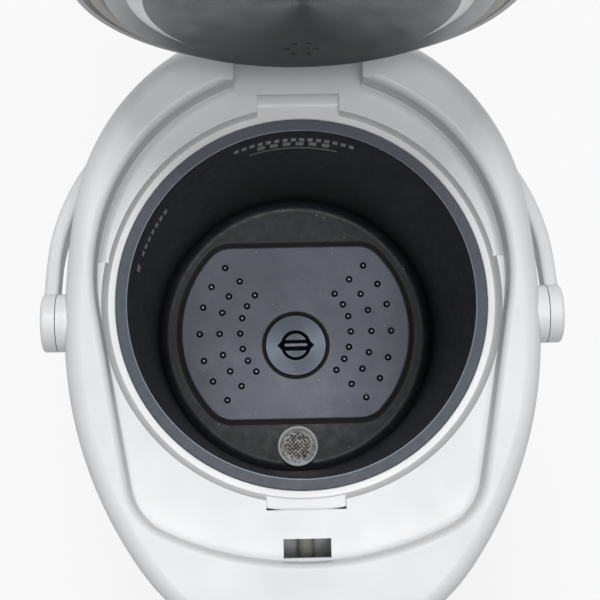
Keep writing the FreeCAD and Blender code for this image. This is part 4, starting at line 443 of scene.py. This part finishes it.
LOOKS = {
    "white_plastic": moulded("head_plastic", shade(225, 227, 229), shade(218, 220, 222), 0.42, coat=0.05),
    "casing_paint": moulded("casing_paint", shade(224, 226, 228), shade(217, 219, 221), 0.32, 500.0),
    "pot_coating": container_coating("container_coating"),
    "plate_coating": plate_coating("plate_coating"),
    "black_rubber": rubbery("black_rubber", shade(22, 22, 23), shade(34, 34, 35)),
    "silicone": rubbery("silicone", shade(212, 211, 206), shade(198, 197, 191), 0.6),
    "bright_steel": brushed("bright_steel", shade(222, 223, 224), shade(190, 192, 194), (1.0, 12.0, 12.0)),
    "dark_steel": turned_metal(
        "cap_metal", CAP_CENTRE, "Z", shade(70, 74, 82), shade(54, 58, 66), CAP_RING_PITCH
    ),
    "clear_plastic": clear("clear_plastic"),
    "dark_plastic": moulded("dark_plastic", shade(30, 31, 34), shade(40, 41, 44), 0.22, 700.0, 0.4),
    "grey_plastic": moulded("grey_plastic", shade(150, 151, 152), shade(138, 139, 141), 0.45, 600.0),
    "base_plastic": moulded("base_plastic", shade(160, 159, 156), shade(146, 146, 143), 0.5, 500.0),
    "cast_aluminium": cast("cast_aluminium", shade(176, 177, 178), shade(150, 151, 153)),
    "board": circuit_board("circuit_board"),
    "brass_pins": brushed("plated_pins", shade(214, 186, 112), shade(184, 154, 84), (1.0, 1.0, 1.0)),
    "button_plastic": moulded("button_plastic", shade(176, 180, 184), shade(164, 168, 173), 0.4, 800.0),
    "ball_plastic": moulded("ball_plastic", shade(225, 225, 222), shade(210, 210, 206), 0.4),
}


# Nodes whose finish differs from the rest of their slot
NODE_LOOKS = {
    "strainer_ring": worn_steel_painted_rim(
        "strainer_steel", shade(206, 207, 209), shade(140, 141, 144), 0.45, 0.2, STRAINER_BRIGHT_RADIUS
    ),
    "strainer_mesh": worn_steel_painted_rim(
        "mesh_steel", shade(226, 221, 214), shade(62, 60, 58), 0.5, 0.2, MESH_BRIGHT_RADIUS, 700.0
    ),
    "inner_lid": turned_metal(
        "inner_lid_steel", LID_CENTRE, "Y", shade(214, 215, 217), shade(186, 188, 191),
        LID_RING_PITCH, 0.34, 0.9,
    ),
}


def dress_nodes():
    """Give every node of the frame its finished material."""
    for part in frame["record"]["subparts"]:
        obj = bpy.data.objects[part["node"]]
        look = NODE_LOOKS.get(part["node"], LOOKS[part["material_slot"]])
        for slot in obj.material_slots:
            slot.material = look


# Printed marks and small trim

def strip_grid(rows, name):
    """A mesh from equal rows of points."""
    mesh = bpy.data.meshes.new(name)
    width = len(rows[0])
    points = [point for row in rows for point in row]
    faces = []
    for i in range(len(rows) - 1):
        for j in range(width - 1):
            low = i * width + j
            faces.append((low, low + 1, low + 1 + width, low + width))
    mesh.from_pydata(points, [], faces)
    return mesh


def wall_strip(first_deg, last_deg, low, high):
    """Points of a printed strip that lies on the container's inner wall."""
    steps = max(2, int(abs(last_deg - first_deg) / STRIP_STEP_DEG) + 1)
    radius = POT_RADIUS - PRINT_LIFT
    rows = []
    for z in (low, high):
        row = []
        for i in range(steps):
            angle = math.radians(first_deg + (last_deg - first_deg) * i / (steps - 1))
            row.append((radius * math.cos(angle), radius * math.sin(angle), z))
        rows.append(row)
    return rows


def join_meshes(meshes, name):
    """One mesh from several, which are used up."""
    builder = bmesh.new()
    for mesh in meshes:
        builder.from_mesh(mesh)
        bpy.data.meshes.remove(mesh)
    joined = bpy.data.meshes.new(name)
    builder.to_mesh(joined)
    builder.free()
    return joined


def place_piece(mesh, name, material, body):
    """A visible piece that moves with a body."""
    mesh.materials.append(material)
    piece = bpy.data.objects.new(name, mesh)
    bpy.context.scene.collection.objects.link(piece)
    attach(piece, body)


def make_wall_cove():
    """The moulded curve at the foot of the recess wall, on each side of the hinge pocket."""
    wall = HEAD_RECESS_RADIUS + COVE_SINK
    low = BACK_DECK_Z - COVE_SINK
    meshes = []
    for first_deg, last_deg in (COVE_DEG, (180.0 - COVE_DEG[1], 180.0 - COVE_DEG[0])):
        rows = []
        for j in range(COVE_STEPS + 1):
            turn = math.radians(90.0 * j / COVE_STEPS)
            radius = wall - COVE_RADIUS * (1 - math.cos(turn))
            z = low + COVE_RADIUS * (1 - math.sin(turn))
            row = []
            for i in range(COVE_SPAN_STEPS + 1):
                angle = math.radians(first_deg + (last_deg - first_deg) * i / COVE_SPAN_STEPS)
                row.append((radius * math.cos(angle), COVE_CENTRE_Y + radius * math.sin(angle), z))
            rows.append(row)
        meshes.append(strip_grid(rows, "cove"))
    mesh = join_meshes(meshes, "wall_cove")
    for face in mesh.polygons:
        face.use_smooth = True
    place_piece(mesh, "wall_cove", LOOKS["white_plastic"], "housing")


def make_level_marks():
    """A full-level line under two rows of plain bars at the back of the wall, and a row on the left."""
    full_z = RIM_Z - FULL_LEVEL_DROP
    strips = [wall_strip(*FULL_LINE_DEG, full_z, full_z + LINE_WIDTH)]
    for first_deg, last_deg, count, drop, height in MARK_ROWS:
        pitch = (last_deg - first_deg) / count
        low = RIM_Z - drop
        for i in range(count):
            start = first_deg + (i + (1 - MARK_SHARE) / 2) * pitch
            strips.append(wall_strip(start, start + MARK_SHARE * pitch, low, low + height))
    meshes = [strip_grid(rows, "strip") for rows in strips]
    ink = moulded("grey_print", shade(238, 239, 240), shade(204, 206, 209), 0.5, 1500.0)
    place_piece(join_meshes(meshes, "level_marks"), "level_marks", ink, "housing")


def make_gauge_marks():
    """Plain ticks beside the water gauge on the casing's flat front."""
    low, high = box_corners(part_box("gauge_lens"))
    x = high.x + TICK_GAP
    y = low.y + GAUGE_LENS_PROUD - PRINT_LIFT
    strips = []
    for i in range(1, GAUGE_STEPS):
        z = low.z + (high.z - low.z) * i / GAUGE_STEPS
        top = z + TICK_WIDTH
        reach = LONG_TICK if i % 2 else SHORT_TICK
        strips.append([[(x, y, z), (x + reach, y, z)], [(x, y, top), (x + reach, y, top)]])
    meshes = [strip_grid(rows, "tick") for rows in strips]
    ink = moulded("dark_print", shade(70, 74, 80), shade(90, 94, 100), 0.5, 1500.0)
    place_piece(join_meshes(meshes, "gauge_marks"), "gauge_marks", ink, "housing")


def flat_shape(corners, centre, across, up, name):
    """A flat printed shape from (across, up) corners round a point on the panel."""
    mesh = bpy.data.meshes.new(name)
    points = [centre + across * x + up * y for x, y in corners]
    mesh.from_pydata(points, [], [tuple(range(len(points)))])
    return mesh


def bar(x0, y0, x1, y1):
    """The corners of an upright rectangle."""
    return [(x0, y0), (x1, y0), (x1, y1), (x0, y1)]


def arc_band(inner, outer, first_deg, last_deg):
    """A flat curved band as a list of four-cornered pieces."""
    pieces = []
    for i in range(ARC_STEPS):
        a, b = (math.radians(first_deg + (last_deg - first_deg) * j / ARC_STEPS) for j in (i, i + 1))
        pieces.append(
            [
                (inner * math.cos(a), inner * math.sin(a)),
                (outer * math.cos(a), outer * math.sin(a)),
                (outer * math.cos(b), outer * math.sin(b)),
                (inner * math.cos(b), inner * math.sin(b)),
            ]
        )
    return pieces


def drop_sign(size):
    """A plain water drop."""
    pieces = arc_band(0.0, size, -180.0, 0.0)
    return pieces + [[(-size, 0.0), (size, 0.0), (0.0, 2.1 * size)]]


def lock_sign(size):
    """A plain padlock."""
    shoulder = size * 0.3
    arc = arc_band(size * 0.45, size * 0.7, 0.0, 180.0)
    hoop = [[(x, y + shoulder) for x, y in piece] for piece in arc]
    return [bar(-size, -size, size, shoulder)] + hoop


def loop_sign(size):
    """A round arrow."""
    head = [(size * 0.35, -size * 0.2), (size * 1.25, -size * 0.2), (size * 0.8, size * 0.6)]
    return arc_band(size * 0.62, size * 0.95, 20.0, 320.0) + [head]


def warm_sign(size):
    """Three short upright bars of rising height."""
    half = 0.22
    bars = ((-0.8, 0.0), (0.0, 0.5), (0.8, 1.0))
    return [bar(size * (x - half), -size, size * (x + half), size * top) for x, top in bars]


# Each button's sign and its size
SIGNS = {
    "dispense_button": (drop_sign, 0.0022),
    "unlock_button": (lock_sign, 0.0016),
    "reboil_button": (loop_sign, 0.0018),
    "keep_warm_button": (warm_sign, 0.0018),
}

# The bars of a seven-bar digit that are lit, from the top round clockwise, the middle one last
LIT_BARS = {"9": (0, 1, 2, 3, 5, 6), "8": (0, 1, 2, 3, 4, 5, 6)}


def digit_bars(lit, width, height, stroke):
    """The lit bars of one digit, from its lower left corner."""
    half = height / 2
    places = (
        bar(stroke, height - stroke, width - stroke, height),
        bar(width - stroke, half + stroke / 2, width, height - stroke),
        bar(width - stroke, stroke, width, half - stroke / 2),
        bar(stroke, 0.0, width - stroke, stroke),
        bar(0.0, stroke, stroke, half - stroke / 2),
        bar(0.0, half + stroke / 2, stroke, height - stroke),
        bar(stroke, half - stroke / 2, width - stroke, half + stroke / 2),
    )
    return [places[i] for i in lit]


def lit_paint():
    """Warm orange light bars with a faint cell grain."""
    surface = Surface("lit_bars", 0.4)
    grain = surface.noise(1600.0)
    orange = surface.blend(grain, shade(255, 128, 48), shade(236, 104, 34))
    surface.colour(orange)
    surface.link(orange, surface.shader.inputs["Emission Color"])
    surface.shader.inputs["Emission Strength"].default_value = LIT_STRENGTH
    return surface.material


def front_of(node, outward):
    """A point just in front of the middle of a panel node's front face."""
    points = [vertex.co for vertex in bpy.data.objects[node].data.vertices]
    top = max(point.dot(outward) for point in points)
    face = [point for point in points if top - point.dot(outward) < FACE_DEPTH]
    middle = sum(face, Vector()) / len(face)
    return middle + outward * (top - middle.dot(outward) + PRINT_LIFT)


def make_panel_signs():
    """A plain sign on each button and two lit digits in the display window."""
    press = next(joint for joint in frame["joints"] if joint["child"] == "dispense_button")
    outward = -Vector(press["axis"]).normalized()
    across = Vector((1.0, 0.0, 0.0))
    up = outward.cross(across)
    ink = moulded("sign_print", shade(40, 43, 48), shade(54, 57, 62), 0.5, 1500.0)
    for node, (sign, size) in SIGNS.items():
        centre = front_of(node, outward)
        meshes = [flat_shape(corners, centre, across, up, "sign") for corners in sign(size)]
        name = node.replace("button", "sign")
        place_piece(join_meshes(meshes, name), name, ink, node)
    centre = front_of("display_window", outward)
    meshes = []
    for x, digit in zip(DIGIT_PLACES, SHOWN_DIGITS):
        corner = centre + across * x - up * DIGIT_HEIGHT / 2
        for corners in digit_bars(LIT_BARS[digit], DIGIT_WIDTH, DIGIT_HEIGHT, DIGIT_STROKE):
            meshes.append(flat_shape(corners, corner, across, up, "digit"))
    digits = join_meshes(meshes, "display_digits")
    place_piece(digits, "display_digits", lit_paint(), "housing")


# Stage, light and camera

def floor_material():
    """A pale matt floor that the camera sees nearly white, with the object's shadow on it."""
    surface = Surface("floor_paint", 0.9)
    first, second = ((grey, grey, grey, 1.0) for grey in FLOOR_GREYS)
    surface.colour(surface.blend(surface.noise(3.0), first, second))
    path = surface.add("ShaderNodeLightPath")
    seen = path.outputs["Is Camera Ray"]
    for other in ("Is Glossy Ray", "Is Transmission Ray"):
        seen = surface.combine("MAXIMUM", seen, path.outputs[other])
    glow = surface.add("ShaderNodeEmission", Strength=1.0)
    mix = surface.add("ShaderNodeMixShader")
    surface.link(surface.combine("MULTIPLY", seen, FLOOR_GLOW), mix.inputs[0])
    surface.link(surface.shader.outputs[0], mix.inputs[1])
    surface.link(glow.outputs[0], mix.inputs[2])
    surface.link(mix.outputs[0], surface.tree.nodes["Material Output"].inputs["Surface"])
    return surface.material


def make_floor():
    mesh = bpy.data.meshes.new("floor")
    corners = [(x * FLOOR_REACH, y * FLOOR_REACH, 0) for x, y in ((-1, -1), (1, -1), (1, 1), (-1, 1))]
    mesh.from_pydata(corners, [], [(0, 1, 2, 3)])
    mesh.materials.append(floor_material())
    floor = bpy.data.objects.new("floor", mesh)
    bpy.context.scene.collection.objects.link(floor)


def aim(obj, target, roll=0.0):
    """Turn a light or the camera to face a place."""
    back = (obj.location - target).normalized()
    up_hint = Vector((math.sin(roll), math.cos(roll), 0.0))
    right = up_hint.cross(back).normalized()
    up = back.cross(right)
    obj.rotation_euler = Matrix((right, up, back)).transposed().to_euler()


def soft_light(name, place, size, power):
    """A round soft light that faces the container's mouth."""
    data = bpy.data.lights.new(name, "AREA")
    data.shape = "DISK"
    data.size = size
    data.energy = power
    light = bpy.data.objects.new(name, data)
    light.location = place
    bpy.context.scene.collection.objects.link(light)
    aim(light, Vector((0.0, 0.0, RIM_Z)))


def make_world():
    """An even pale surround that lights softly and looks white behind the object."""
    world = bpy.data.worlds.new("studio")
    world.use_nodes = True
    tree = world.node_tree
    background = tree.nodes["Background"]
    tint = tree.nodes.new("ShaderNodeMix")
    tint.data_type = "RGBA"
    tint.inputs[6].default_value = SURROUND_TINT
    tint.inputs[7].default_value = WHITE
    tree.links.new(tint.outputs[2], background.inputs["Color"])
    path = tree.nodes.new("ShaderNodeLightPath")
    strength = tree.nodes.new("ShaderNodeMapRange")
    strength.inputs["To Min"].default_value = SURROUND_LIGHT
    strength.inputs["To Max"].default_value = 1.0
    tree.links.new(path.outputs["Is Camera Ray"], tint.inputs[0])
    tree.links.new(path.outputs["Is Camera Ray"], strength.inputs["Value"])
    tree.links.new(strength.outputs["Result"], background.inputs["Strength"])
    bpy.context.scene.world = world


def make_camera():
    data = bpy.data.cameras.new("camera")
    data.lens = CAMERA_LENS
    data.sensor_width = SENSOR_WIDTH
    data.sensor_fit = "HORIZONTAL"
    camera = bpy.data.objects.new("camera", data)
    camera.location = CAMERA_PLACE
    aim(camera, CAMERA_AIM, math.radians(CAMERA_ROLL_DEG))
    bpy.context.scene.collection.objects.link(camera)
    bpy.context.scene.camera = camera


make_camera()
dress_nodes()
make_wall_cove()
make_level_marks()
make_gauge_marks()
make_panel_signs()
make_floor()
for light in LIGHTS:
    soft_light(*light)
make_world()
bpy.context.scene.view_settings.view_transform = "Standard"
